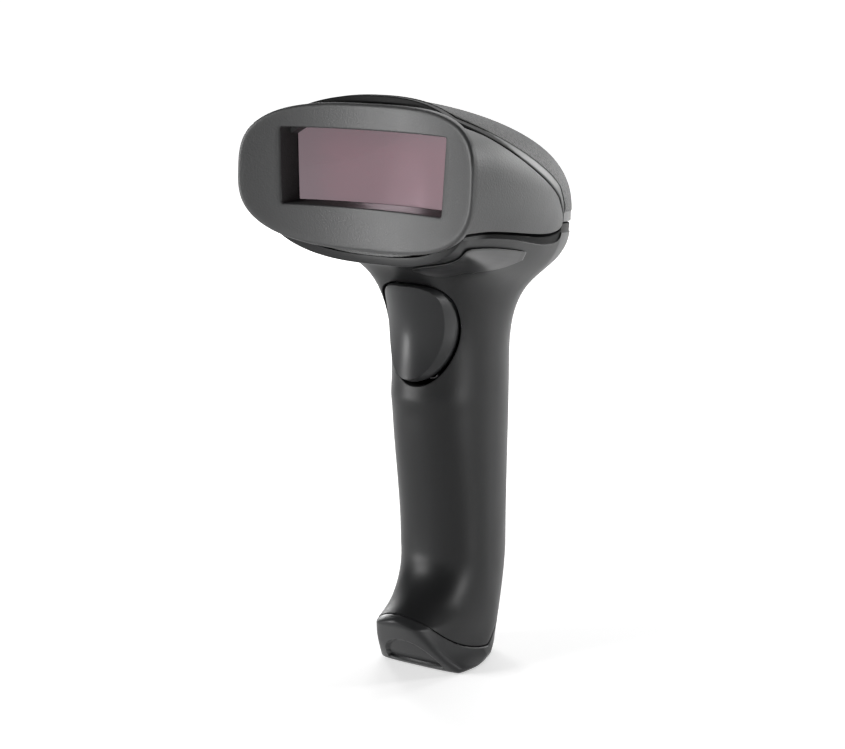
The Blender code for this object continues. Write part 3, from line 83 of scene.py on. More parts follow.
SEAM_BACK_Z = 0.0036
SEAM_FRONT_RISE = 0.0135
SEAM_REACH = 0.041
SEAM_POWER = 3.2
SEAM_HEEL_RISE = 0.0110
SEAM_HEEL_REACH = 0.0146
SEAM_HEEL_POWER = 1.25
SEAM_STEPS = 60
SEAM_STEP = 0.35
SEAM = 0.0004

HEAD_FRONT_Y = -0.038
HEAD_TAIL_Y = 0.0425
HEAD_HALF_WIDTH = 0.0332
HEAD_AXIS_FRONT_Z = 0.1363
HEAD_AXIS_TAIL_Z = 0.1165
HEAD_AXIS_POWER = 1.4
HEAD_RISE = 0.0192
HEAD_DROP = 0.0231
HEAD_ROUNDNESS = 2.35
HEAD_LOW_ROUNDNESS = 2.6
PLAN_POWER = 2.2
CREST_POWER = 4.0
BELLY_POWER = 3.0
FRONT_FADE = 0.010
FACE_Y = -0.0377
FACE_RADIUS = 0.081
FACE_LEAN = 0.06
WINDOW_Z = 0.13735
RIM_DEPTH = 0.0023
EDGE_GROOVE = 0.0009

CHEEK_TIP_Y = 0.0135
CHEEK_TIP_ANGLE = radians(-10.0)
CHEEK_TOP_FRONT = radians(47.0)
CHEEK_TOP_BACK = radians(6.0)
CHEEK_TOP_POWER = 2.1
CHEEK_LOW_FRONT = radians(-27.0)
CHEEK_LOW_BACK = radians(-23.0)
CHEEK_TIP_POWER = 5.0

RIM_BAND = 0.0024
BAND_NARROW = 0.5
BAND_SWELL = 0.6
RIM_RINGS = 6
RIM_PULL = 0.39
NECK_PULL = 0.71
RIM_ROUND = 0.0004
GUTTER_DEPTH = 0.0003
GUTTER_LIP = 0.0001
GUTTER_FROM_Y = -0.036
GUTTER_TO_Y = -0.030
BAND_FROM_Y = -0.022
BAND_TO_Y = 0.014
FRONT_STATIONS = 27
LEAD_STATIONS = 22
TIP_STATIONS = 12
TIP_LENGTH = 0.006
TAIL_STATIONS = 18
FLARE_RINGS = 25
GRIP_RINGS = 40
FOOT_RINGS = 16
FLARE_EVENING = 360
NECK_EVENING = 90

MOUTH_TOP_Z = 0.1062
MOUTH_WIDEST_Z = 0.0975
MOUTH_FOOT_Z = 0.0784
MOUTH_HALF_WIDTH = 0.0115
MOUTH_TOP_ROUNDNESS = 3.2
MOUTH_FOOT_ROUNDNESS = 2.1
MOUTH_BACK = 0.0045
MOUTH_EDGE = 0.0004
MOUTH_EDGE_TURNS = (0.0, 20.0, 40.0, 60.0, 75.0)
MOUTH_FLARE = 0.0014
MOUTH_POINTS = 160
FOOT_EDGE = 0.0003
EDGE_TURNS = (0.33, 0.67, 1.0)

GRIP_AXIS_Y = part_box("top_cover")[1].y - HEAD_TAIL_Y
CHARCOAL = (0.0105, 0.0107, 0.0112)
PLASTIC_IOR = 1.33
PLASTIC_CLOUDS = 0.014
# Painted shade, as a share of the colour and a shine level, for the gutter under the cheeks and the front
# of the top cover.
PAINTED_SHADE_TONE = 0.15
PAINTED_SHADE_SHINE = 0.06


def clamp(value, low=0.0, high=1.0):
    return max(low, min(high, value))


def ease(value):
    t = clamp(value)
    return t * t * (3 - 2 * t)


def unit(vectors):
    return vectors / np.maximum(np.linalg.norm(vectors, axis=-1, keepdims=True), 1e-12)


def grip_radius(theta, z):
    """From the grip's axis to its skin at height z, with theta 0 at the front and pi at the back."""
    toe = clamp((WAIST_Z - z) / TOE_HEIGHT, 0.0, 1.25)
    heel = clamp((HEEL_TOP_Z - z) / HEEL_HEIGHT, 0.0, 1.5) ** HEEL_POWER
    front = WAIST_FRONT + (CHEST_FRONT - WAIST_FRONT) * ease((z - WAIST_Z) / (CHEST_Z - WAIST_Z))
    front += TOE_REACH * toe ** TOE_POWER + RIDGE_HEIGHT * exp(-((z - RIDGE_Z) / RIDGE_WIDTH) ** 2)
    half = GRIP_HALF_WIDTH + (NECK_HALF_WIDTH - GRIP_HALF_WIDTH) * ease((z - WAIST_Z) / (NECK_Z - WAIST_Z))
    half -= FLANK_TAPER * heel
    back = GRIP_BACK - HEEL_TAPER * heel
    facing = cos(theta)
    flank = clamp((facing - FLARE_BACK) / FLARE_BLEND)
    half += SOLE_FLARE * clamp(1 - z / SOLE_FLARE_HEIGHT) ** 2 * flank
    depth = front if facing > 0 else back
    roundness = GRIP_ROUNDNESS
    if facing > 0:
        roundness += (TOE_ROUNDNESS - GRIP_ROUNDNESS) * min(toe, 1.0)
        roundness += (SOLE_ROUNDNESS - TOE_ROUNDNESS) * ease((TOE_TIP_Z - z) / TOE_TIP_Z)
    along, across = abs(sin(theta) / half), abs(facing / depth)
    return (along ** roundness + across ** roundness) ** (-1.0 / roundness)


def grip_point(theta, z, inset=0.0):
    """A point of the grip's skin, or of a skin that lies inside it by the inset."""
    radius = grip_radius(theta, z) - inset
    return np.array((radius * sin(theta), -radius * cos(theta), z))


def seam_height(y):
    """Height of the seam between the grip and the foot, which climbs towards the toe and the heel."""
    toe = clamp((HEEL_SEAM_Y - y) / SEAM_REACH, 0.0, 1.2) ** SEAM_POWER
    heel = clamp(y / SEAM_HEEL_REACH, 0.0, 1.2) ** SEAM_HEEL_POWER
    return SEAM_BACK_Z + SEAM_FRONT_RISE * toe + SEAM_HEEL_RISE * heel


def grip_end(theta, drop=0.0):
    """Height at which the skin meets the foot seam, found by stepping towards it."""
    z = SEAM_BACK_Z
    for _ in range(SEAM_STEPS):
        target = seam_height(grip_point(theta, z)[1]) - drop
        z += SEAM_STEP * (target - z)
    return z


def head_section(y):
    """Half width, axis height, rise and drop of the head's oval at y."""
    u = clamp((y - HEAD_FRONT_Y) / (HEAD_TAIL_Y - HEAD_FRONT_Y))
    half = HEAD_HALF_WIDTH * (1 - u ** PLAN_POWER) ** (1 / PLAN_POWER)
    axis = HEAD_AXIS_FRONT_Z + (HEAD_AXIS_TAIL_Z - HEAD_AXIS_FRONT_Z) * u ** HEAD_AXIS_POWER
    rise = HEAD_RISE * (1 - u ** CREST_POWER) ** (1 / CREST_POWER)
    drop = HEAD_DROP * (1 - u ** BELLY_POWER) ** (1 / BELLY_POWER)
    return half, axis, rise, drop


def head_point(y, phi):
    """A point of the head's skin: phi is 0 at the right side and a quarter turn at the crest."""
    half, axis, rise, drop = head_section(y)
    c, s = cos(phi), sin(phi)
    reach, roundness = (rise, HEAD_ROUNDNESS) if s > 0 else (drop, HEAD_LOW_ROUNDNESS)
    x = half * copysign(abs(c) ** (2 / roundness), c)
    z = axis + reach * copysign(abs(s) ** (2 / roundness), s)
    return np.array((x, y, z))


def head_normal(y, phi):
    """The way out of the head's skin."""
    if y > HEAD_TAIL_Y - 1e-5:
        return np.array((0.0, 1.0, 0.0))
    step = 1e-4
    along = head_point(min(y + step, HEAD_TAIL_Y), phi) - head_point(y - step, phi)
    around = head_point(y, phi + 0.01) - head_point(y, phi - 0.01)
    normal = unit(np.cross(along, around))
    outward = np.array((cos(phi), 0.0, sin(phi)))
    return normal if np.dot(normal, outward) > 0 else -normal


def face_y(x, z):
    """The bezel's front: hollow in plan and leaning a little."""
    return FACE_Y - x * x / (2 * FACE_RADIUS) - (WINDOW_Z - z) * FACE_LEAN


def head_front_shift(y, x, z, depth):
    """Carries the front edge of a shell from the flat section to a set depth behind the bezel's face."""
    fade = 1 - ease((y - HEAD_FRONT_Y) / FRONT_FADE)
    return fade * (face_y(x, z) + depth - HEAD_FRONT_Y)


def cheek_edges(y, spread=0.0):
    """Top and bottom angles of the cheek at y, or of the space for it when spread is above zero."""
    tip = CHEEK_TIP_Y + spread
    t = clamp((y - HEAD_FRONT_Y) / (tip - HEAD_FRONT_Y))
    close = sqrt(max(0.0, 1 - t ** CHEEK_TIP_POWER))
    top = CHEEK_TOP_BACK + (CHEEK_TOP_FRONT - CHEEK_TOP_BACK) * (1 - t) ** CHEEK_TOP_POWER
    low = CHEEK_LOW_FRONT + (CHEEK_LOW_BACK - CHEEK_LOW_FRONT) * t
    seam = CHEEK_TIP_ANGLE * clamp((HEAD_TAIL_Y - y) / (HEAD_TAIL_Y - tip))
    opening = spread / HEAD_RISE if t < 1 else 0.0
    return seam + (top - seam) * close + opening, seam + (low - seam) * close - opening


def stations(end_y, tip_y):
    """Places along the head: even at first, close together round the cheek's tip, then to the tail."""
    lead = list(np.linspace(HEAD_FRONT_Y, tip_y - TIP_LENGTH, LEAD_STATIONS))
    rounding = [sin(pi / 2 * k / TIP_STATIONS) for k in range(1, TIP_STATIONS + 1)]
    tip = [tip_y - TIP_LENGTH * (1 - r) for r in rounding]
    closing = [sin(pi / 2 * k / TAIL_STATIONS) for k in range(1, TAIL_STATIONS + 1)]
    tail = [tip_y + (end_y - tip_y) * c for c in closing]
    return lead + tip + (tail if end_y > tip_y else [])


def rim_loop():
    """The grip shell's upper edge, from the middle of the front round the right side to the tail."""
    points, normals = [], []
    _, low = cheek_edges(HEAD_FRONT_Y, SEAM)
    for k in range(FRONT_STATIONS):
        phi = -pi / 2 + (low + pi / 2) * k / FRONT_STATIONS
        p = head_point(HEAD_FRONT_Y, phi)
        p[1] = face_y(p[0], p[2]) + RIM_DEPTH + EDGE_GROOVE
        points.append(p)
        normals.append(head_normal(HEAD_FRONT_Y, phi))
    for y in stations(HEAD_TAIL_Y, CHEEK_TIP_Y + SEAM):
        _, low = cheek_edges(y, SEAM)
        p = head_point(y, low)
        p[1] += head_front_shift(y, p[0], p[2], RIM_DEPTH + EDGE_GROOVE)
        p[2] -= SEAM
        points.append(p)
        normals.append(head_normal(y, low))
    points[0][0] = 0.0
    points[-1][0] = 0.0
    return np.array(points), np.array(normals)


def evened(loop, passes):
    """A closed loop of values, each drawn towards its neighbours a number of times."""
    for _ in range(passes):
        loop = 0.25 * np.roll(loop, 1, axis=0) + 0.5 * loop + 0.25 * np.roll(loop, -1, axis=0)
    return loop


def both_sides(half, sign):
    """A closed loop from its right half, whose first and last points lie on the middle plane."""
    return np.concatenate([half, half[-2:0:-1] * np.array((sign, 1.0, 1.0))])


def gutter_share(rim):
    """How far the gutter under the rim has opened at each place, from none at the bezel to all of it."""
    return np.array([ease((y - GUTTER_FROM_Y) / (GUTTER_TO_Y - GUTTER_FROM_Y)) for y in rim[:, 1]])


def quarter_round(radius, turns):
    """How far each step round a quarter circle is drawn in from the side, and from the end."""
    angles = [turn * pi / 2 for turn in turns]
    return [(radius * (1 - cos(angle)), radius * (1 - sin(angle))) for angle in angles]


def grip_skin(rim, normals, away, thetas, inset):
    """One skin of the grip and neck, as rings from the rim down to the foot seam."""
    edge = rim - normals * inset
    swell = [ease((y - BAND_FROM_Y) / (BAND_TO_Y - BAND_FROM_Y)) for y in rim[:, 1]]
    width = RIM_BAND * (BAND_NARROW + BAND_SWELL * np.array(swell)[:, None])
    band = edge + away * width
    neck = np.array([grip_point(t, NECK_Z, inset) for t in thetas])
    span = evened(np.linalg.norm(band - neck, axis=1, keepdims=True), NECK_EVENING)
    lead = band + away * span * RIM_PULL
    settle = neck + np.array((0.0, 0.0, 1.0)) * span * NECK_PULL
    if inset:
        rings = [edge]
    else:
        floor = edge - normals * GUTTER_DEPTH * gutter_share(rim)[:, None]
        rings = [floor - normals * RIM_ROUND, floor - (normals - away) * RIM_ROUND * 0.3,
                 floor + away * RIM_ROUND, floor + away * width * 0.6, floor + away * (width - RIM_ROUND),
                 edge - 0.3 * (edge - floor) + away * (width - GUTTER_LIP)]
    for t in np.linspace(0.0, 1.0, FLARE_RINGS):
        s = 1 - t
        upper = evened(s ** 3 * band + 3 * s * s * t * lead, int(NECK_EVENING * t))
        rings.append(upper + 3 * s * t * t * settle + t ** 3 * neck)
    for share in np.linspace(1.0, 0.0, GRIP_RINGS)[1:]:
        z = WAIST_Z + (NECK_Z - WAIST_Z) * share
        rings.append(np.array([grip_point(t, z, inset) for t in thetas]))
    ends = [grip_end(t) for t in thetas]
    for share in np.linspace(1.0, 0.0, FOOT_RINGS)[1:]:
        heights = [e + FOOT_EDGE + (WAIST_Z - e - FOOT_EDGE) * share for e in ends]
        rings.append(np.array([grip_point(t, z, inset) for t, z in zip(thetas, heights)]))
    for drawn, lift in quarter_round(FOOT_EDGE, EDGE_TURNS):
        reach = inset - drawn if inset else drawn
        rings.append(np.array([grip_point(t, e + lift, reach) for t, e in zip(thetas, ends)]))
    return np.array(rings)


def grip_skins():
    """The outer and inner skins, and the angles of their columns on the right side."""
    half_rim, half_normals = rim_loop()
    rim = both_sides(half_rim, -1.0)
    normals = unit(both_sides(half_normals, -1.0))
    tangent = np.roll(rim, -1, axis=0) - np.roll(rim, 1, axis=0)
    away = unit(evened(unit(np.cross(unit(tangent), normals)), FLARE_EVENING))
    even = np.linspace(0.0, pi, len(half_rim))
    apart = (np.arctan2(half_rim[:, 0], -half_rim[:, 1]) - even) / 2
    apart = evened(np.concatenate([apart, -apart[-2:0:-1]]), NECK_EVENING)
    half_thetas = even + apart[:len(even)]
    thetas = np.concatenate([half_thetas, -half_thetas[-2:0:-1]])
    outer, inner = [grip_skin(rim, normals, away, thetas, inset) for inset in (0.0, GRIP_WALL)]
    return outer, inner, half_thetas


def closed(rings):
    """Repeats each ring's first point at its end."""
    rings = np.asarray(rings, float)
    return np.concatenate([rings, rings[:, :1]], axis=1)


def lay_sheet(name, places, marks=None):
    """Adds a grid, lays its points on rows of places in the grip's frame, and joins edges that meet."""
    rows, columns = places.shape[:2]
    bpy.ops.object.select_all(action="DESELECT")
    bpy.ops.mesh.primitive_grid_add(x_subdivisions=columns - 1, y_subdivisions=rows - 1, size=0.01)
    piece = bpy.context.object
    piece.name = name
    laid = places.reshape(-1, 3) + np.array((0.0, GRIP_AXIS_Y, 0.0))
    piece.data.vertices.foreach_set("co", laid.reshape(-1))
    for mark, values in (marks or {}).items():
        drawn = piece.data.attributes.new(mark, "FLOAT", "POINT")
        drawn.data.foreach_set("value", np.asarray(values, float).reshape(-1))
    piece.data.update()
    bpy.ops.object.mode_set(mode="EDIT")
    bpy.ops.mesh.select_all(action="SELECT")
    bpy.ops.mesh.remove_doubles(threshold=1e-6)
    bpy.ops.mesh.normals_make_consistent(inside=False)
    bpy.ops.object.mode_set(mode="OBJECT")
    return piece


def apply(piece, kind, **settings):
    """Adds a modifier with these settings and applies it."""
    change = piece.modifiers.new(kind.title(), kind)
    for setting, value in settings.items():
        setattr(change, setting, value)
    bpy.context.view_layer.objects.active = piece
    bpy.ops.object.modifier_apply(modifier=change.name)


def cut(piece, cutter, folded=False):
    """Cuts one piece with another; folded is for a piece whose own faces may cross."""
    apply(piece, "BOOLEAN", operation="DIFFERENCE", object=cutter, solver="EXACT", use_self=folded)
    bpy.data.objects.remove(cutter)


def select(piece, *others):
    """Selects these pieces and nothing else, and makes the first one active."""
    bpy.ops.object.select_all(action="DESELECT")
    for chosen in (piece, *others):
        chosen.select_set(True)
    bpy.context.view_layer.objects.active = piece


def smooth(piece, angle=40.0):
    """Shades a piece smooth, apart from edges sharper than the angle."""
    select(piece)
    bpy.ops.object.shade_smooth_by_angle(angle=radians(angle))


def mouth_outline(side, top, foot):
    """The trigger's opening in front view, drawn in by a gap at its sides, its top and its round foot."""
    points = []
    for k in range(MOUTH_POINTS):
        angle = 2 * pi * k / MOUTH_POINTS
        c, s = cos(angle), sin(angle)
        roundness = MOUTH_TOP_ROUNDNESS if s > 0 else MOUTH_FOOT_ROUNDNESS
        height = MOUTH_TOP_Z - MOUTH_WIDEST_Z - top if s > 0 else MOUTH_WIDEST_Z - MOUTH_FOOT_Z - foot
        x = (MOUTH_HALF_WIDTH - side) * copysign(abs(c) ** (2 / roundness), c)
        points.append((x, MOUTH_WIDEST_Z + height * copysign(abs(s) ** (2 / roundness), s)))
    return points


def mouth_cutter(shell):
    """A plug in the shape of the mouth, flared where it leaves the shell so that it rounds the edge."""
    rings = [[(x, -MOUTH_BACK, z) for x, z in mouth_outline(0.0, 0.0, 0.0)]]
    profile = [(MOUTH_EDGE * (1 - cos(turn)), MOUTH_EDGE * (1 - sin(turn)))
               for turn in np.radians(MOUTH_EDGE_TURNS)]
    profile.append((profile[-1][0] + MOUTH_FLARE, profile[-1][1] - MOUTH_EDGE))
    for out, depth in profile:
        ring = []
        for x, z in mouth_outline(-out, -out, -out):
            skin = shell.ray_cast(Vector((x, -1.0, z)), Vector((0.0, 1.0, 0.0)))[1]
            ring.append((x, skin.y - GRIP_AXIS_Y + depth, z))
        rings.append(ring)
    rings.append([(x, HEAD_FRONT_Y, z) for x, _, z in rings[-1]])
    rings.insert(0, [(0.0, -MOUTH_BACK, MOUTH_WIDEST_Z) for _ in rings[0]])
    rings.append([(0.0, HEAD_FRONT_Y, MOUTH_WIDEST_Z) for _ in rings[0]])
    return lay_sheet("mouth_cutter", closed(rings))


def set_sockets(tree, node, **sockets):
    """Puts a value on each named socket of a node, or links another node's output to it."""
    for name, value in sockets.items():
        socket = node.inputs[name.replace("_", " ")]
        if isinstance(value, bpy.types.NodeSocket):
            tree.links.new(value, socket)
        else:
            socket.default_value = value


def add_node(tree, kind, **sockets):
    """A new shader node with its sockets set."""
    node = tree.nodes.new("ShaderNode" + kind)
    set_sockets(tree, node, **sockets)
    return node


def new_finish(name, **sockets):
    """A named material with these values on its shader's sockets."""
    made = bpy.data.materials.new(name)
    made.use_nodes = True
    shader = made.node_tree.nodes["Principled BSDF"]
    set_sockets(made.node_tree, shader, **sockets)
    return made, made.node_tree, shader


def own_place(tree):
    """The piece's own coordinates, in metres."""
    return add_node(tree, "TexCoord").outputs["Object"]


def own_mark(tree, name):
    """A value that the piece carries at its points."""
    mark = add_node(tree, "Attribute")
    mark.attribute_name = name
    return mark.outputs["Fac"]


def noise(tree, size, detail=2.0, stretch=(1.0, 1.0, 1.0)):
    """A noise of the given grain size in metres, on the piece's own coordinates."""
    place = add_node(tree, "Mapping", Vector=own_place(tree), Scale=stretch).outputs["Vector"]
    return add_node(tree, "TexNoise", Vector=place, Scale=1 / size, Detail=detail).outputs["Fac"]


def spread(tree, factor, low, high, start=0.3, stop=0.7):
    """A value that runs from low to high as the factor runs from start to stop."""
    reach = add_node(tree, "MapRange", Value=factor, From_Min=start, From_Max=stop, To_Min=low, To_Max=high)
    return reach.outputs["Result"]


def tint(tree, factor, dark, light):
    """A colour between two, by the factor. Each of the two is a colour or a node's output."""
    mix = add_node(tree, "Mix")
    mix.data_type = "RGBA"
    tree.links.new(factor, mix.inputs[0])
    for tone, socket in ((dark, mix.inputs[6]), (light, mix.inputs[7])):
        if isinstance(tone, tuple):
            socket.default_value = (*tone, 1.0)
        else:
            tree.links.new(tone, socket)
    return mix.outputs[2]


def relief(tree, shader, height, depth):
    """Small ups and downs of the surface, too fine to model."""
    bump = add_node(tree, "Bump", Height=height, Distance=depth)
    set_sockets(tree, shader, Normal=bump.outputs["Normal"])


def shade(colour, share):
    """A darker or lighter tone of a colour."""
    return tuple(c * share for c in colour)


def paint_shade(tree, shader, tone, mark_name, dark):
    """Painted shade: a colour that turns dark, with hardly any shine, where the piece's own mark says so.
    """
    mark = own_mark(tree, mark_name)
    set_sockets(tree, shader, Specular_IOR_Level=spread(tree, mark, 0.5, PAINTED_SHADE_SHINE, 0.0, 1.0))
    return tint(tree, mark, tone, dark)


def satin_plastic(name, colour, roughness, grain, depth, shade_mark_name=None, ior=PLASTIC_IOR):
    """Moulded plastic with a fine even grain and faint clouds, with painted shade, dark and dull, where a
    mark calls for it.
    """
    made, tree, shader = new_finish(name, IOR=ior)
    clouds = noise(tree, PLASTIC_CLOUDS, 3.0)
    tone = tint(tree, clouds, shade(colour, 0.90), shade(colour, 1.10))
    if shade_mark_name:
        tone = paint_shade(tree, shader, tone, shade_mark_name, shade(colour, PAINTED_SHADE_TONE))
    set_sockets(tree, shader, Base_Color=tone,
                Roughness=spread(tree, clouds, roughness - 0.03, roughness + 0.03))
    relief(tree, shader, noise(tree, grain), depth)
    return made


def dress(piece, material):
    """Gives a piece its one material."""
    piece.data.materials.clear()
    piece.data.materials.append(material)


outer_skin, inner_skin, skin_thetas = grip_skins()
wall = closed(np.concatenate([outer_skin[::-1], inner_skin]))
# Painted shade in the gutter under the cheeks: a mark that turns the charcoal nearly black and dull there,
# for the shadow of the cheek's overhang.
gutter_shade = np.zeros(outer_skin.shape[:2])
gutter_shade[:RIM_RINGS] = gutter_share(outer_skin[0])
gutter_shade = closed(np.concatenate([gutter_shade[::-1], np.zeros(inner_skin.shape[:2])]))
wall, gutter_shade = [np.concatenate([rows, rows[:1]]) for rows in (wall, gutter_shade)]
grip = lay_sheet("grip_shell", wall, {"gutter": gutter_shade})
cut(grip, mouth_cutter(grip))
smooth(grip)
# Charcoal plastic, with painted shade where the gutter mark says so.
charcoal = satin_plastic("charcoal_plastic", CHARCOAL, 0.41, grain=0.00035, depth=0.000006,
                         shade_mark_name="gutter")
dress(grip, charcoal)
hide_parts("handle_shell")
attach(grip, "housing")


# Boards in the grip: a green glass-fibre board with the decoder, a capacitor and the beeper soldered on,
# and a small switch that the trigger works through a steel plunger.
def dress_nodes(material, *names):
    """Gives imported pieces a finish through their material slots."""
    for name in names:
        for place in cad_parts[name].material_slots:
            place.material = material


def solder_mask():
    """Green lacquer over copper, with lighter lines where the tracks lie under it."""
    made, tree, shader = new_finish("solder_mask", Roughness=0.35, Coat_Weight=0.3)
    turn = add_node(tree, "Mapping", Vector=own_place(tree), Rotation=(pi / 2, 0.0, pi / 2))
    tracks = add_node(tree, "TexBrick", Vector=turn.outputs["Vector"], Scale=260.0, Mortar_Size=0.06,
                      Color1=(0.008, 0.070, 0.028, 1.0), Color2=(0.011, 0.085, 0.034, 1.0),
                      Mortar=(0.024, 0.150, 0.060, 1.0))
    set_sockets(tree, shader, Base_Color=tracks.outputs["Color"])
    relief(tree, shader, tracks.outputs["Fac"], 0.00003)
    return made


def paint(tree, shader, pattern, dark, light, least, most):
    """Colour and roughness that vary together over the surface, by a pattern."""
    set_sockets(tree, shader, Base_Color=tint(tree, pattern, dark, light),
                Roughness=spread(tree, pattern, least, most))


def brushed_metal(name, colour, roughness, stretch):
    """Bare metal with fine marks left along one direction by the tool that made it."""
    made, tree, shader = new_finish(name, Metallic=1.0)
    marks = noise(tree, 0.0006, 3.0, stretch)
    paint(tree, shader, marks, shade(colour, 0.86), colour, roughness - 0.06, roughness + 0.08)
    relief(tree, shader, marks, 0.00001)
    return made


black_moulding = satin_plastic("black_moulding", (0.016, 0.016, 0.017), 0.50, grain=0.0003, depth=0.000015)
steel = brushed_metal("drawn_steel", (0.55, 0.55, 0.56), 0.28, (1.0, 1.0, 0.1))
board_green = solder_mask()
can_aluminium = brushed_metal("cast_aluminium", (0.62, 0.63, 0.65), 0.40, (1.0, 1.0, 1.0))
dress_nodes(board_green, "main_board")
dress_nodes(black_moulding, "decoder_chip", "beeper", "switch_body")
dress_nodes(can_aluminium, "supply_capacitor")
dress_nodes(steel, "switch_plunger", "trigger_pin")


# Trigger: a charcoal moulding that hangs on a steel pin across the neck. A finger scoop with a crisp
# U-shaped edge is sunk between two flanks that fall back into the mouth, and a spring pushes it out.
TRIGGER_SIDE_GAP = 0.0007
TRIGGER_TOP_GAP = 0.0003
TRIGGER_FOOT_GAP = 0.0014
PAD_MIDDLE_Z = 0.0923
TRIGGER_FRONT = 0.0214
TRIGGER_BROW = 0.0016
TRIGGER_SCOOP = 0.0018
TRIGGER_CROWN = 0.0034
TRIGGER_BACK = 0.0118
PAD_WIDTH_SHARE = 0.82
PAD_FOOT_SHARE = 0.93
FLANK_SIDE_FALL = 0.0088
FLANK_FOOT_FALL = 0.0034
PIVOT_Y = -0.0060
PIVOT_Z = 0.1030
KNUCKLE_RADIUS = 0.0026
KNUCKLE_HALF_LENGTH = 0.0070
NIB_Z = 0.0885
NIB_RADIUS = 0.0016
NIB_END_Y = -0.0062
WEB_RADIUS = 0.0021
ROOT_DEPTH = 0.001
TRIGGER_GREY = (0.020, 0.0204, 0.0213)
SPRING_WIRE = 0.0003
SPRING_TURNS = 6
TURN_POINTS = 24
WIRE_SIDES = 12


def trigger_reach(z):
    """How far the scoop's edge stands in front of the grip's axis."""
    height = (z - PAD_MIDDLE_Z) / (MOUTH_TOP_Z - PAD_MIDDLE_Z)
    return TRIGGER_FRONT + TRIGGER_BROW * max(height, 0.0) ** 2


def trigger_rings():
    """Rings from the middle of the scoop to its crisp edge, down the flanks and in to the flat back."""
    outline = mouth_outline(TRIGGER_SIDE_GAP, TRIGGER_TOP_GAP, TRIGGER_FOOT_GAP)
    crease = []
    for x, z in outline:
        share = 1.0 if z > PAD_MIDDLE_Z else PAD_FOOT_SHARE
        crease.append((x * PAD_WIDTH_SHARE, PAD_MIDDLE_Z + (z - PAD_MIDDLE_Z) * share))
    half_width = MOUTH_HALF_WIDTH - TRIGGER_SIDE_GAP

    def pad(x, z):
        across = abs(x) / (half_width * PAD_WIDTH_SHARE)
        along = (z - PAD_MIDDLE_Z) / (PAD_MIDDLE_Z - MOUTH_FOOT_Z - TRIGGER_FOOT_GAP)
        dish = TRIGGER_SCOOP * max(0.0, 1 - along * along)
        return np.array((x, TRIGGER_CROWN * across * across + dish - trigger_reach(z), z))

    rings = []
    for s in (0.0, 0.12, 0.25, 0.38, 0.5, 0.62, 0.72, 0.8, 0.87, 0.92, 0.96, 0.985, 1.0):
        rings.append([pad(x * s, PAD_MIDDLE_Z + (z - PAD_MIDDLE_Z) * s) for x, z in crease])
    for t in (0.06, 0.2, 0.4, 0.6, 0.8, 1.0):
        ring = []
        for (cx, cz), (x, z) in zip(crease, outline):
            side = abs(x) / half_width
            foot = clamp((PAD_MIDDLE_Z - z) / (PAD_MIDDLE_Z - MOUTH_FOOT_Z))
            fall = FLANK_SIDE_FALL * side ** 2 + FLANK_FOOT_FALL * foot ** 2
            outer = np.array((x, fall - trigger_reach(z), z))
            ring.append(pad(cx, cz) * (1 - t) + outer * t)
        rings.append(ring)
    rings.append([(x, -TRIGGER_BACK, z) for x, z in outline])
    rings.append([(0.0, -TRIGGER_BACK, PAD_MIDDLE_Z) for _ in outline])
    return closed(rings)


def round_edges(piece, width, segments=2, angle=50.0):
    """Rounds the edges that are sharper than the angle."""
    apply(piece, "BEVEL", width=width, segments=segments, limit_method="ANGLE",
          angle_limit=radians(angle), use_clamp_overlap=False)


def turned_rod(name, radius, start, finish, sides=48):
    """A round bar between two places of the grip's frame."""
    start, finish = Vector(start), Vector(finish)
    bpy.ops.object.select_all(action="DESELECT")
    bpy.ops.mesh.primitive_cylinder_add(vertices=sides, radius=radius, depth=(finish - start).length)
    bar = bpy.context.object
    bar.name = name
    bar.rotation_euler = (finish - start).to_track_quat("Z", "Y").to_euler()
    bar.location = (start + finish) / 2 + Vector((0.0, GRIP_AXIS_Y, 0.0))
    bpy.ops.object.transform_apply(location=True, rotation=True, scale=True)
    return bar


trigger = lay_sheet("finger_trigger", trigger_rings())
round_edges(trigger, 0.0004, segments=3, angle=55.0)
knuckle = turned_rod("trigger_knuckle", KNUCKLE_RADIUS, (-KNUCKLE_HALF_LENGTH, PIVOT_Y, PIVOT_Z),
                     (KNUCKLE_HALF_LENGTH, PIVOT_Y, PIVOT_Z))
root_y = -TRIGGER_BACK - ROOT_DEPTH
web = turned_rod("trigger_web", WEB_RADIUS, (0.0, root_y, PIVOT_Z), (0.0, PIVOT_Y, PIVOT_Z))
nib = turned_rod("trigger_nib", NIB_RADIUS, (0.0, root_y, NIB_Z), (0.0, NIB_END_Y, NIB_Z))
for bar in (knuckle, web, nib):
    round_edges(bar, 0.0002)
select(trigger, knuckle, web, nib)
bpy.ops.object.join()
smooth(trigger)
trigger_plastic = satin_plastic("trigger_plastic", TRIGGER_GREY, 0.34, grain=0.0003, depth=0.000004)
dress(trigger, trigger_plastic)
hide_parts("trigger")
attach(trigger, "trigger_lever")


def spring_rings(low, high):
    """Rings along one unbroken wire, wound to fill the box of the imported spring."""
    middle = (low + high) / 2
    radius = (high.x - low.x) / 2 - SPRING_WIRE
    start, finish = low.y + SPRING_WIRE - GRIP_AXIS_Y, high.y - SPRING_WIRE - GRIP_AXIS_Y
    along = np.array((0.0, 1.0, 0.0))
    around = np.linspace(0.0, 2 * pi, WIRE_SIDES, endpoint=False)[:, None]
    rings = []
    for share in np.linspace(0.0, 1.0, SPRING_TURNS * TURN_POINTS + 1):
        turn = 2 * pi * SPRING_TURNS * share
        out = np.array((cos(turn), 0.0, sin(turn)))
        core = np.array((middle.x, start + (finish - start) * share, middle.z)) + radius * out
        rings.append(core + SPRING_WIRE * (np.cos(around) * out + np.sin(around) * along))
    ends = [[np.mean(ring, axis=0)] * WIRE_SIDES for ring in (rings[0], rings[-1])]
    return closed([ends[0], *rings, ends[1]])


spring_low, spring_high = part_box("trigger_spring")
spring = lay_sheet("return_spring", spring_rings(spring_low, spring_high))
smooth(spring)
dress(spring, steel)
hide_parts("trigger_spring")
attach(spring, "housing")
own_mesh(spring)


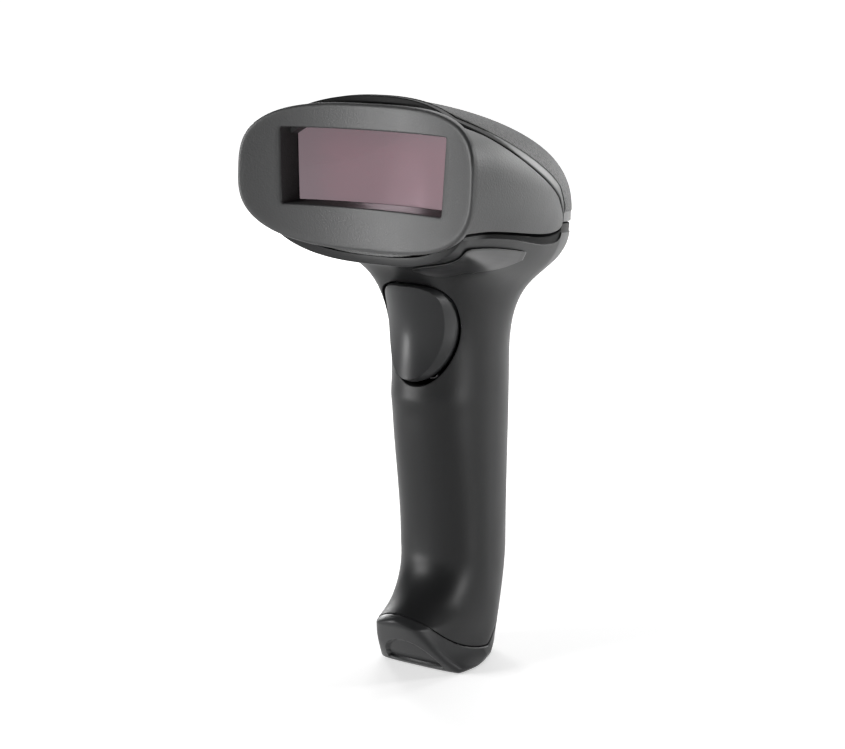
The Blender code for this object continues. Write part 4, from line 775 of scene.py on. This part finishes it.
# Scan engine: a cast base on brass posts carries a laser barrel, a hollow collecting mirror with a hole
# for the beam, a mirror that a coil swings, and the detector that reads the light that comes back.
def clouded(name, size, dark, light, least, most, **sockets):
    """A smooth finish whose colour and roughness vary together in faint clouds."""
    made, tree, shader = new_finish(name, **sockets)
    paint(tree, shader, noise(tree, size), dark, light, least, most)
    return made


def striped(name, scale, wander, dark, light, depth, **sockets):
    """Fine stripes side by side: the turns of a winding, or the tracks of a flat lead under its film."""
    made, tree, shader = new_finish(name, **sockets)
    wave = add_node(tree, "TexWave", Vector=own_place(tree), Scale=scale, Distortion=wander)
    stripes = wave.outputs["Fac"]
    set_sockets(tree, shader, Base_Color=tint(tree, stripes, dark, light))
    relief(tree, shader, stripes, depth)
    return made


def clear_moulding(name, colour):
    """Clear plastic with slight flow lines from its mould."""
    return clouded(name, 0.003, shade(colour, 0.92), colour, 0.06, 0.16, IOR=1.49, Transmission_Weight=0.85)


brass = brushed_metal("turned_brass", (0.60, 0.46, 0.20), 0.34, (0.15, 0.15, 1.0))
silvered = clouded("silvered_mirror", 0.002, (0.76, 0.77, 0.79), (0.84, 0.84, 0.86), 0.02, 0.06,
                   Metallic=1.0)
lens_clear = clear_moulding("lens_clear", (0.86, 0.90, 0.88))
winding = striped("enamelled_winding", 900.0, 1.0, (0.30, 0.11, 0.04), (0.62, 0.28, 0.13), 0.00006,
                  Metallic=1.0, Roughness=0.32, Coat_Weight=0.6)
amber_flex = striped("amber_flex", 320.0, 0.0, (0.34, 0.13, 0.02), (0.52, 0.25, 0.07), 0.00002,
                     Roughness=0.28, Coat_Weight=0.4)
dress_nodes(black_moulding, "inner_deck", "mirror_hub", "coil_bracket", "photodetector")
dress_nodes(steel, "deck_screw_left", "deck_screw_right", "engine_screw_left", "engine_screw_right",
            "engine_screw_rear", "mirror_shaft", "mirror_magnet")
dress_nodes(brass, "engine_standoff_left", "engine_standoff_right", "engine_standoff_rear", "laser_barrel")
dress_nodes(can_aluminium, "engine_base", "laser_block")
dress_nodes(silvered, "collecting_mirror", "scan_mirror")
dress_nodes(winding, "drive_coil")
dress_nodes(board_green, "detector_board", "engine_board")
dress_nodes(amber_flex, "ribbon_cable")
dress_nodes(lens_clear, "laser_lens", "status_led")


# Bezel with its cheeks: one satin grey moulding. Its oval face is hollow in plan, a rolled rim goes round
# it, a tunnel runs back to the window, and a long cheek reaches along each side of the head.
BEZEL_Z = 0.1351
BEZEL_HALF_WIDTH = 0.0358
BEZEL_HALF_HEIGHT = 0.0185
BEZEL_TOP_ROUNDNESS = 3.3
BEZEL_LOW_ROUNDNESS = 2.65
RIM_FILLET = 0.0011
PLATE_DEPTH = 0.0043
SKIRT_DEPTH = 0.0090
SKIRT_WALL = 0.0016
HEAD_WALL = 0.0020
GAP = 0.0003
WINDOW_HALF_TOP = 0.0252
WINDOW_HALF_BOTTOM = 0.0243
WINDOW_HALF_HEIGHT = 0.0097
WINDOW_CORNER = 0.0007
MOUTH_ROUND = 0.0005
WINDOW_DEPTH = 0.0066
TUNNEL_DRAFT = 0.0004
TUNNEL_WALL = 0.0012
LONG_POINTS = 52
SHORT_POINTS = 26
CORNER_POINTS = 6
HALVINGS = 40
CHEEK_COLUMNS = 33
ROUND_TURNS = (0.0, 0.25, 0.5, 0.75, 1.0)
FILLET_TURNS = (0.0, 0.2, 0.4, 0.6, 0.8, 1.0)
SATIN_GREY = (0.034, 0.0345, 0.0350)


def window_outline(outset):
    """The window's outline as (x, z) points from its lower right corner, with small round corners."""
    corners = []
    for x_sign, z_sign in ((1, -1), (1, 1), (-1, 1), (-1, -1)):
        half = WINDOW_HALF_TOP if z_sign > 0 else WINDOW_HALF_BOTTOM
        height = WINDOW_HALF_HEIGHT + outset
        corners.append(np.array((x_sign * (half + outset), WINDOW_Z + z_sign * height)))
    radius = WINDOW_CORNER + max(outset, -0.5 * WINDOW_CORNER)
    points = []
    for k in range(4):
        before, here, after = corners[k - 1], corners[k], corners[(k + 1) % 4]
        start, stop = here + unit(before - here) * radius, here + unit(after - here) * radius
        for t in np.linspace(0.0, 1.0, CORNER_POINTS):
            points.append((1 - t) ** 2 * start + 2 * t * (1 - t) * here + t * t * stop)
        until = after + unit(here - after) * radius
        count = SHORT_POINTS if k in (0, 2) else LONG_POINTS
        points += [stop + (until - stop) * i / count for i in range(1, count)]
    return np.array(points)


def oval_outline(half_width, rise, drop, top_roundness, low_roundness, centre_z):
    """Points of an oval that lie in the same directions from the window's middle as its outline's."""
    points = []
    for x, z in window_outline(0.0):
        direction = unit(np.array((x, z - WINDOW_Z)))
        low, high = 0.0, half_width * 2
        for _ in range(HALVINGS):
            reach = (low + high) / 2
            px, pz = direction[0] * reach, WINDOW_Z + direction[1] * reach - centre_z
            depth, roundness = (rise, top_roundness) if pz > 0 else (drop, low_roundness)
            inside = abs(px / half_width) ** roundness + abs(pz / depth) ** roundness < 1
            low, high = (reach, high) if inside else (low, reach)
        points.append((direction[0] * low, WINDOW_Z + direction[1] * low))
    return np.array(points)


def on_face(outline, depth):
    """Lays (x, z) points at a depth behind the bezel's hollow face."""
    return np.array([(x, face_y(x, z) + depth, z) for x, z in outline])


def bezel_rings():
    """Rings from the tunnel's end out over the face and the rim, back along the skirt and in again."""
    def rim(inset):
        return oval_outline(BEZEL_HALF_WIDTH - inset, BEZEL_HALF_HEIGHT - inset, BEZEL_HALF_HEIGHT - inset,
                            BEZEL_TOP_ROUNDNESS, BEZEL_LOW_ROUNDNESS, BEZEL_Z)

    def skirt(inset, depth):
        half_width, axis, over, _ = head_section(FACE_Y + depth)
        under = axis - HEAD_AXIS_FRONT_Z + HEAD_DROP
        nest = max(HEAD_WALL, GRIP_WALL) + GAP + inset
        outline = oval_outline(half_width - nest, over - nest, under - nest, HEAD_ROUNDNESS,
                               HEAD_ROUNDNESS, axis)
        return on_face(outline, depth)

    opening = window_outline(0.0)
    throat = window_outline(-TUNNEL_DRAFT)
    tunnel_outside = window_outline(TUNNEL_WALL - TUNNEL_DRAFT)
    edge = rim(RIM_FILLET)
    rings = [on_face(throat, WINDOW_DEPTH)]
    for t in (0.25, 0.5, 0.75):
        rings.append(rings[0] * (1 - t) + on_face(opening, MOUTH_ROUND) * t)
    for out, depth in quarter_round(MOUTH_ROUND, ROUND_TURNS):
        rings.append(on_face(window_outline(out), depth))
    lip = window_outline(MOUTH_ROUND)
    for t in (0.15, 0.3, 0.45, 0.6, 0.75, 0.88):
        rings.append(on_face(lip * (1 - t) + edge * t, 0.0))
    for depth, inset in quarter_round(RIM_FILLET, FILLET_TURNS):
        rings.append(on_face(rim(inset), depth))
    rings += [on_face(rim(0.0), RIM_DEPTH), skirt(0.0, RIM_DEPTH), skirt(0.0, SKIRT_DEPTH),
              skirt(SKIRT_WALL, SKIRT_DEPTH), skirt(SKIRT_WALL, PLATE_DEPTH),
              on_face(tunnel_outside, PLATE_DEPTH), on_face(tunnel_outside, WINDOW_DEPTH),
              on_face(throat, WINDOW_DEPTH)]
    return closed(rings)


def cheek_rows(side):
    """The skin of one cheek, from the bezel's rim to its tip; side is 1 on the right and -1 on the left."""
    rows = []
    for y in stations(CHEEK_TIP_Y, CHEEK_TIP_Y):
        top, low = cheek_edges(y)
        row = []
        for share in np.linspace(0.0, 1.0, CHEEK_COLUMNS):
            phi = low + (top - low) * share
            p = head_point(y, phi)
            p[1] += head_front_shift(y, p[0], p[2], RIM_DEPTH / 2)
            row.append(p * np.array((side, 1.0, 1.0)))
        rows.append(row)
    return np.array(rows)


bezel = lay_sheet("front_bezel_moulding", bezel_rings())
cheeks = []
for side in (1.0, -1.0):
    cheek = lay_sheet("bezel_cheek", cheek_rows(side))
    apply(cheek, "SOLIDIFY", thickness=HEAD_WALL, offset=-1.0, use_even_offset=True)
    round_edges(cheek, 0.0004, segments=3)
    cheeks.append(cheek)
select(bezel, *cheeks)
bpy.ops.object.join()
smooth(bezel)
satin_grey = satin_plastic("satin_grey_plastic", SATIN_GREY, 0.46, grain=0.00050, depth=0.000060, ior=1.5)
dress(bezel, satin_grey)
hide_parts("front_bezel")
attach(bezel, "housing")


# Window: a polished slab of deep red plastic that only the laser's colour passes. It is bent to the
# bezel's hollow face and stuck with a foam rubber gasket to the end of the tunnel.
PANE_OVERLAP = 0.0008
PANE_THICKNESS = 0.0015
PANE_ROWS = 25
PANE_COLUMNS = 61
GASKET_THICKNESS = 0.0005
GASKET_INSET = 0.0002
GLUE = 0.00002


def pane_rows():
    """Rows up the front of the pane, which is a little wider at its top."""
    rows = []
    for level in np.linspace(-1.0, 1.0, PANE_ROWS):
        z = WINDOW_Z + level * (WINDOW_HALF_HEIGHT - TUNNEL_DRAFT + PANE_OVERLAP)
        half = WINDOW_HALF_BOTTOM + (WINDOW_HALF_TOP - WINDOW_HALF_BOTTOM) * (level + 1) / 2
        half += PANE_OVERLAP - TUNNEL_DRAFT
        line = [(half * k, z) for k in np.linspace(-1.0, 1.0, PANE_COLUMNS)]
        rows.append(on_face(line, WINDOW_DEPTH + GASKET_THICKNESS))
    return np.array(rows)


def gasket_rings():
    """The four corners of the gasket's section, carried round the end of the tunnel."""
    inner, outer = window_outline(-TUNNEL_DRAFT), window_outline(TUNNEL_WALL - TUNNEL_DRAFT - GASKET_INSET)
    front, back = WINDOW_DEPTH + GLUE, WINDOW_DEPTH + GASKET_THICKNESS - GLUE
    return closed([on_face(inner, front), on_face(outer, front), on_face(outer, back), on_face(inner, back),
                   on_face(inner, front)])


def red_window():
    """Deep red, with the strong faintly pink shine of a coated pane and slight clouds in it."""
    made, tree, shader = new_finish("red_window", IOR=2.3, Coat_Weight=1.0, Coat_Roughness=0.03,
                                    Transmission_Weight=0.4, Specular_Tint=(1.0, 0.74, 0.85, 1.0))
    paint(tree, shader, noise(tree, 0.02, 1.0), (0.060, 0.006, 0.014), (0.095, 0.012, 0.024), 0.04, 0.08)
    return made


def foam_rubber():
    """Black rubber with fine open cells."""
    made, tree, shader = new_finish("foam_rubber")
    cells = noise(tree, 0.0004)
    paint(tree, shader, cells, (0.008, 0.008, 0.009), (0.020, 0.020, 0.021), 0.70, 0.90)
    relief(tree, shader, cells, 0.0001)
    return made


pane = lay_sheet("red_window_pane", pane_rows())
apply(pane, "SOLIDIFY", thickness=PANE_THICKNESS, offset=-1.0)
round_edges(pane, 0.0002)
smooth(pane)
dress(pane, red_window())
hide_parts("window_pane")
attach(pane, "housing")

gasket = lay_sheet("foam_gasket", gasket_rings())
smooth(gasket)
dress(gasket, foam_rubber())
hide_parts("window_gasket")
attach(gasket, "housing")


# Top cover: a black moulding that snaps over the head. Its dome is grained like fine leather, inside a
# plain border that follows the front edge and the cheeks down to the tail. At the front the border carries
# painted shade, dull and dark, and a wedge of painted shade runs back from it along each cheek.
BORDER_SIDE = 0.0027
BORDER_FRONT = 0.0034
DOME_STEP = 0.0002
STEP_WIDTH = 0.0003
# Painted shade wedge: its width at the front, where it ends, and its soft edge.
WEDGE_WIDTH = 0.0056
WEDGE_END_Y = -0.014
WEDGE_EDGE = 0.0006
BORDER_MOST = 0.45
BORDER_COLUMNS = 7
DOME_COLUMNS = 48
FINE_STEPS = 240
TOUCH = 1e-7
SLOT_REACH = 0.01
TEXTURED_BLACK = (0.048, 0.049, 0.049)


def cover_rows():
    """Rows across the cover from the bezel to the tail, with marks for its border and its painted shade."""
    tip = CHEEK_TIP_Y + SEAM
    places = stations(HEAD_TAIL_Y, tip)
    lead = np.linspace(HEAD_FRONT_Y + BORDER_FRONT + STEP_WIDTH, tip - TIP_LENGTH, LEAD_STATIONS)
    front = list(np.linspace(HEAD_FRONT_Y, HEAD_FRONT_Y + BORDER_FRONT, BORDER_COLUMNS))
    places = front + list(lead) + places[LEAD_STATIONS:]
    rows, plain, shade_wedge = [], [], []
    for y in places:
        edge, _ = cheek_edges(y, SEAM)
        fine = np.linspace(edge, pi / 2, FINE_STEPS)
        line = np.array([head_point(y, phi) for phi in fine])
        run = np.concatenate([[0.0], np.cumsum(np.linalg.norm(np.diff(line, axis=0), axis=1))])
        border = min(BORDER_SIDE, run[-1] * BORDER_MOST)
        dome = border + STEP_WIDTH + (run[-1] - border - STEP_WIDTH) * np.linspace(0.0, 1.0, DOME_COLUMNS)
        steps = np.minimum(np.concatenate([np.linspace(0.0, border, BORDER_COLUMNS), dome]), run[-1])
        at_front = y <= HEAD_FRONT_Y + BORDER_FRONT + TOUCH
        at_tail = y >= HEAD_TAIL_Y - TOUCH
        half = np.interp(steps, run, fine)
        row, marks, dark = [], [], []
        taper = WEDGE_WIDTH * clamp((WEDGE_END_Y - y) / (WEDGE_END_Y - HEAD_FRONT_Y - BORDER_FRONT))
        for distance, phi in zip(steps, half):
            p = head_point(y, phi)
            p[1] += head_front_shift(y, p[0], p[2], RIM_DEPTH + EDGE_GROOVE)
            on_border = at_front or at_tail or distance <= border + TOUCH
            if not on_border:
                p = p + head_normal(y, phi) * DOME_STEP
            row.append(p)
            marks.append(1.0 if on_border else 0.0)
            # Painted shade: full on the front border, and in a wedge along each cheek's edge that narrows
            # to nothing partway back.
            dark.append(1.0 if at_front else clamp((taper - distance) / WEDGE_EDGE))
        other = [p * np.array((-1.0, 1.0, 1.0)) for p in row[-2::-1]]
        rows.append(row + other)
        plain.append(marks + marks[-2::-1])
        shade_wedge.append(dark + dark[-2::-1])
    rows = np.array(rows)
    rows[-1, :] = head_point(HEAD_TAIL_Y, 0.0)
    return rows, {"border": np.array(plain), "shade_wedge": np.array(shade_wedge)}


def combine(tree, operation, first, second):
    """One value made of two."""
    node = add_node(tree, "Math")
    node.operation = operation
    tree.links.new(first, node.inputs[0])
    tree.links.new(second, node.inputs[1])
    return node.outputs["Value"]


def grained_black():
    """Fine leather grain on the dome, which fades to a smooth border by the piece's own mark."""
    made, tree, shader = new_finish("grained_black")
    plain = own_mark(tree, "border")
    grain = noise(tree, 0.00065)
    clouds = noise(tree, 0.012)
    speckle = spread(tree, grain, 0.0, 1.0, 0.38, 0.68)
    dome = tint(tree, speckle, shade(TEXTURED_BLACK, 0.55), shade(TEXTURED_BLACK, 1.75))
    smooth_tone = tint(tree, clouds, shade(TEXTURED_BLACK, 0.62), shade(TEXTURED_BLACK, 0.75))
    tone = tint(tree, plain, dome, smooth_tone)
    # Painted shade, dark and dull, on the front border and the wedge along each cheek.
    tone = paint_shade(tree, shader, tone, "shade_wedge", shade(TEXTURED_BLACK, PAINTED_SHADE_TONE))
    set_sockets(tree, shader, Base_Color=tone, Roughness=spread(tree, plain, 0.58, 0.42, 0.0, 1.0))
    height = combine(tree, "MULTIPLY", grain, spread(tree, plain, 1.0, 0.08, 0.0, 1.0))
    relief(tree, shader, height, 0.00035)
    return made


def bar_block(name, low, high):
    """A plain block between two corners."""
    low, high = Vector(low), Vector(high)
    bpy.ops.object.select_all(action="DESELECT")
    bpy.ops.mesh.primitive_cube_add(size=1.0, location=(low + high) / 2)
    block = bpy.context.object
    block.name = name
    block.scale = high - low
    bpy.ops.object.transform_apply(location=True, rotation=True, scale=True)
    return block


places, marks = cover_rows()
cover = lay_sheet("grained_top_cover", places, marks)
apply(cover, "SOLIDIFY", thickness=HEAD_WALL, offset=-1.0)
round_edges(cover, 0.00035, segments=3)
pipe_low, pipe_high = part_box("light_pipe")
slot_margin = Vector((GAP, GAP, 0.0))
slot_reach = Vector((0.0, 0.0, SLOT_REACH))
cut(cover, bar_block("pipe_slot", pipe_low - slot_margin, pipe_high + slot_margin + slot_reach))
smooth(cover, 35.0)
dress(cover, grained_black())
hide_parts("top_cover")
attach(cover, "housing")


# Light pipe: a clear moulded bar in the slot of the top cover. It stands over the small lamp on the
# engine's board and shows its light at the back of the head.
PIPE_ROUND = 0.0004
pipe = bar_block("status_light_pipe", pipe_low, pipe_high)
round_edges(pipe, PIPE_ROUND, segments=3)
smooth(pipe)
dress(pipe, clear_moulding("pipe_clear", (0.72, 0.78, 0.75)))
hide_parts("light_pipe")
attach(pipe, "housing")


# Foot: a charcoal cap snapped under the grip. Its toe is cut to a slanting D-shaped face with a rounded
# edge and a shallow D sunk in it, and the cable's socket opens in its flat sole.
SOLE_ROUND = 0.0014
SOLE_SIDE_ROUND = 0.0010
SOLE_SIDE_FROM = 0.55
SOLE_SIDE_BLEND = 0.5
SOLE_HEEL_ROUND = 0.0022
SOLE_HEEL_BLEND = 0.7
FACE_FOOT_Y = -0.0162
FACE_SLOPE = 0.756
FACE_ROUND = 0.0018
FACE_CORNER = 0.0052
FACE_CORNER_HEIGHT = 0.0085
RECESS_DEPTH = 0.001
RECESS_HALF_WIDTH = 0.0090
RECESS_HEIGHT = 0.0125
RECESS_STEP = 0.0004
RECESS_FOOT = 0.0020
CAP_FLOOR = 0.0024
CAP_HOLLOW_FRONT = 0.0140
CAP_COLUMNS = 288
CAP_RINGS = 44
SOLE_STEPS = 8
SOLE_EVENING = 10


def toe_face(point):
    """Holds a point of the foot behind the toe's slanting face, with a rounded edge and the sunk D."""
    x, y, z = point
    face = FACE_FOOT_Y - FACE_SLOPE * z
    lean = sqrt(1 + FACE_SLOPE ** 2)
    behind = (y - face) / lean
    rounding = FACE_ROUND + FACE_CORNER * clamp(1 - z / FACE_CORNER_HEIGHT) ** 2
    held = 0.5 * (behind + sqrt(behind * behind + rounding * rounding))
    up = z * lean
    reach = sqrt((x / RECESS_HALF_WIDTH) ** 2 + (max(up, 0.0) / RECESS_HEIGHT) ** 2)
    inside = ease((1 - reach) * RECESS_HALF_WIDTH / RECESS_STEP) * ease((up - RECESS_FOOT) / RECESS_STEP)
    depth = RECESS_DEPTH * inside * ease(1 - (held - rounding * 0.5) / rounding)
    return np.array((x, y + (held - behind + depth) * lean, z))


def cap_rings():
    """Rings from the middle of the cap's floor up to its brim, down the outside and in under the sole."""
    thetas = [2 * pi * k / CAP_COLUMNS for k in range(CAP_COLUMNS)]
    ends = [grip_end(t, SEAM) for t in thetas]
    rounds = []
    for theta, end in zip(thetas, ends):
        facing = cos(theta)
        wanted = SOLE_ROUND + SOLE_SIDE_ROUND * ease((SOLE_SIDE_FROM - facing) / SOLE_SIDE_BLEND)
        wanted += SOLE_HEEL_ROUND * ease(-facing / SOLE_HEEL_BLEND)
        rounds.append(min(wanted, end - 2 * FOOT_EDGE))
    rounds = np.array(rounds)

    def hollow(theta, z):
        radius = grip_radius(theta, max(z, SOLE_ROUND)) - GRIP_WALL
        if cos(theta) > 0:
            radius = min(radius, CAP_HOLLOW_FRONT / cos(theta))
        return np.array((radius * sin(theta), -radius * cos(theta), z))

    floor = [hollow(t, CAP_FLOOR) for t in thetas]
    brim = [hollow(t, e) for t, e in zip(thetas, ends)]
    for point in brim:
        point[2] = seam_height(point[1]) - SEAM
    rings = [[(0.0, 0.0, CAP_FLOOR) for _ in thetas], floor, brim]
    for drawn, fall in quarter_round(FOOT_EDGE, EDGE_TURNS[::-1]):
        rings.append([toe_face(grip_point(t, e - fall, drawn)) for t, e in zip(thetas, ends)])
    for share in np.linspace(1.0, 0.0, CAP_RINGS):
        heights = [r + (e - FOOT_EDGE - r) * share for r, e in zip(rounds, ends)]
        rings.append([toe_face(grip_point(t, z)) for t, z in zip(thetas, heights)])
    edge = np.array(rings[-1])
    along = np.roll(edge, -1, axis=0) - np.roll(edge, 1, axis=0)
    sideways = np.stack([along[:, 1], -along[:, 0], 0 * along[:, 0]], axis=1)
    outward = unit(evened(unit(sideways), SOLE_EVENING))
    slant = FACE_SLOPE * np.maximum(-outward[:, 1], 0.0) ** 2
    for k in range(1, SOLE_STEPS + 1):
        turn = pi / 2 * k / SOLE_STEPS
        ring = edge - outward * rounds[:, None] * (1 - cos(turn))
        ring[:, 1] += slant * rounds * sin(turn)
        ring[:, 2] = rounds * (1 - sin(turn))
        rings.append(ring)
    rings.append([(0.0, 0.0, 0.0) for _ in thetas])
    return closed([np.asarray(ring, float) for ring in rings])


socket_low, socket_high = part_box("cable_socket")
cap = lay_sheet("foot_cap", cap_rings())
socket_mouth = bar_block("socket_mouth", socket_low - slot_margin - slot_reach, socket_high + slot_margin)
cut(cap, socket_mouth, folded=True)
smooth(cap, 35.0)
dress(cap, satin_plastic("foot_plastic", shade(CHARCOAL, 1.8), 0.36, grain=0.00035, depth=0.000008))
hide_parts("bottom_cap")
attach(cap, "housing")
dress_nodes(black_moulding, "cable_socket")


# Label: a thin black film in the shape of a leaf, stuck on the right of the neck under the head. It is
# left bare.
LABEL_THICKNESS = 0.00025
LABEL_LIFT = 0.00005
LABEL_FROM = 0.10
LABEL_TO = 1.50
LABEL_TOP = 0.06
LABEL_POINT_RISE = 0.29
LABEL_POINT_CUT = 0.1
LABEL_FOOT = 0.49
LABEL_BEND = 0.56
LABEL_END = 0.13
LABEL_ROWS = 81
LABEL_COLUMNS = 25
LABEL_BLACK = (0.020, 0.020, 0.021)
LABEL_LINE = (0.003, 0.003, 0.003)


def label_rows():
    """Rows of the leaf on the neck's skin, and how near each point is to the leaf's edge."""
    half = len(skin_thetas)
    flare = outer_skin[RIM_RINGS:RIM_RINGS + FLARE_RINGS, :half]
    normals = unit(np.cross(np.gradient(flare, axis=1), np.gradient(flare, axis=0)))
    if normals[12, 12, 2] > 0:
        normals = -normals

    def on_skin(values, theta, level):
        column = np.interp(theta, skin_thetas, np.arange(half))
        row = level * (FLARE_RINGS - 1)
        i, k = int(min(row, FLARE_RINGS - 2)), int(min(column, half - 2))
        shares = np.outer((1 - row + i, row - i), (1 - column + k, column - k))
        return np.sum(shares[:, :, None] * values[i:i + 2, k:k + 2], axis=(0, 1))

    rows, marks = [], []
    for share in np.linspace(0.0, 1.0, LABEL_ROWS):
        theta = LABEL_FROM + (LABEL_TO - LABEL_FROM) * share
        top = LABEL_TOP + LABEL_POINT_RISE * (1 - share) ** 4
        foot = LABEL_FOOT - LABEL_POINT_CUT * clamp(1 - share * 4) ** 2
        foot -= (LABEL_FOOT - LABEL_END) * clamp((share - LABEL_BEND) / (1 - LABEL_BEND))
        row = []
        for k in np.linspace(0.0, 1.0, LABEL_COLUMNS):
            level = top + (foot - top) * k
            lift = unit(on_skin(normals, theta, level))
            row.append(on_skin(flare, theta, level) + lift * (LABEL_LIFT + LABEL_THICKNESS))
        rows.append(row)
        marks.append([max(abs(k), abs(2 * share - 1)) for k in np.linspace(-1.0, 1.0, LABEL_COLUMNS)])
    return np.array(rows), np.array(marks)


def label_film():
    """Smooth black film with a thin darker line along its edge."""
    made, tree, shader = new_finish("label_film")
    line = spread(tree, own_mark(tree, "edge"), 0.0, 1.0, 0.90, 0.92)
    clouds = noise(tree, 0.01)
    film = tint(tree, clouds, shade(LABEL_BLACK, 0.85), shade(LABEL_BLACK, 1.15))
    set_sockets(tree, shader, Base_Color=tint(tree, line, film, LABEL_LINE),
                Roughness=spread(tree, clouds, 0.30, 0.38))
    relief(tree, shader, noise(tree, 0.0005, 1.0), 0.000008)
    return made


places, marks = label_rows()
label = lay_sheet("bare_label", places, {"edge": marks})
apply(label, "SOLIDIFY", thickness=LABEL_THICKNESS, offset=-1.0)
round_edges(label, 0.00015)
smooth(label)
dress(label, label_film())
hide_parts("label_plate")
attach(label, "housing")


# Studio: a white table without an edge under a pale horizon, a soft panel at the front left and one above
# the back, low strips for the grip's sides, strips behind that draw its bright edges, and a long lens.
CAMERA_PLACE = (0.3050, -0.4697 + GRIP_AXIS_Y, 0.199)
CAMERA_YAW = radians(-33.763)
CAMERA_PITCH = radians(-12.155)
FOCAL_PIXELS = 2124
PICTURE_PIXELS = 845
SENSOR_WIDTH = 36.0
LAMP_AIM = Vector((0.0, 0.0, 0.09))
LAMP_DISTANCE = 0.9
ROOM_LIGHT = 0.10
COVE_LIGHT = 1.0
COVE_TOP = 0.16
TABLE_NEAR = 0.45
TABLE_FAR = 1.0
TABLE_NEAR_REACH = 0.15
TABLE_FAR_REACH = 1.2
TABLE_SIZE = 40.0


def white_table():
    """White paint that the lens and reflections see as a plain white ground, with shadows kept."""
    made, tree, shader = new_finish("white_table", Roughness=0.9, Base_Color=(0.80, 0.80, 0.80, 1.0),
                                    Emission_Color=(1.0, 1.0, 1.0, 1.0))
    path = add_node(tree, "LightPath")
    seen = path.outputs["Is Camera Ray"]
    for kind in ("Is Glossy Ray", "Is Transmission Ray"):
        seen = combine(tree, "MAXIMUM", seen, path.outputs[kind])
    away = add_node(tree, "VectorMath")
    away.operation = "LENGTH"
    tree.links.new(own_place(tree), away.inputs[0])
    level = spread(tree, away.outputs["Value"], TABLE_NEAR, TABLE_FAR, TABLE_NEAR_REACH, TABLE_FAR_REACH)
    set_sockets(tree, shader, Emission_Strength=combine(tree, "MULTIPLY", level, seen))
    return made


bpy.ops.object.select_all(action="DESELECT")
bpy.ops.mesh.primitive_plane_add(size=TABLE_SIZE)
table = bpy.context.object
table.name = "white_table"
dress(table, white_table())

world = bpy.data.worlds.new("grey_room")
bpy.context.scene.world = world
world.use_nodes = True
sky = world.node_tree
parts = add_node(sky, "SeparateXYZ", Vector=add_node(sky, "TexCoord").outputs["Generated"])
cove = spread(sky, parts.outputs["Z"], COVE_LIGHT, ROOM_LIGHT, 0.0, COVE_TOP)
set_sockets(sky, sky.nodes["Background"], Color=(1.0, 1.0, 1.0, 1.0), Strength=cove)


def soft_lamp(name, bearing, height, width, tall, power):
    """A soft panel round the object: its bearing is 0 in front and grows to the right, in degrees."""
    turn, rise = radians(bearing), radians(height)
    out = Vector((sin(turn) * cos(rise), -cos(turn) * cos(rise), sin(rise)))
    lamp = bpy.data.lights.new(name, "AREA")
    lamp.shape = "RECTANGLE"
    lamp.size = width
    lamp.size_y = tall
    lamp.energy = power
    holder = bpy.data.objects.new(name, lamp)
    bpy.context.scene.collection.objects.link(holder)
    holder.location = LAMP_AIM + out * LAMP_DISTANCE
    holder.rotation_euler = (-out).to_track_quat("-Z", "Y").to_euler()


soft_lamp("strip_front_left", -40.0, 21.0, 0.30, 0.40, 5.4)
soft_lamp("low_strip_left", -42.0, -3.7, 0.22, 0.055, 2.8)
soft_lamp("low_strip_right", 88.0, -3.7, 0.30, 0.055, 2.8)
soft_lamp("strip_right_back", 172.0, 11.0, 0.22, 0.34, 1.8)
soft_lamp("strip_right_high", 138.0, 25.0, 0.22, 0.20, 2.0)
soft_lamp("strip_left_back", -125.0, 12.0, 0.22, 0.36, 3.0)
soft_lamp("panel_back", -165.0, 38.0, 0.8, 0.5, 3.6)

lens = bpy.data.cameras.new("long_lens")
lens.lens = FOCAL_PIXELS / PICTURE_PIXELS * SENSOR_WIDTH
lens.sensor_width = SENSOR_WIDTH
camera = bpy.data.objects.new("long_lens", lens)
bpy.context.scene.collection.objects.link(camera)
camera.location = CAMERA_PLACE
level = cos(CAMERA_PITCH)
sight = Vector((sin(CAMERA_YAW) * level, cos(CAMERA_YAW) * level, sin(CAMERA_PITCH)))
camera.rotation_euler = sight.to_track_quat("-Z", "Y").to_euler()
bpy.context.scene.camera = camera
bpy.context.scene.view_settings.view_transform = "Standard"
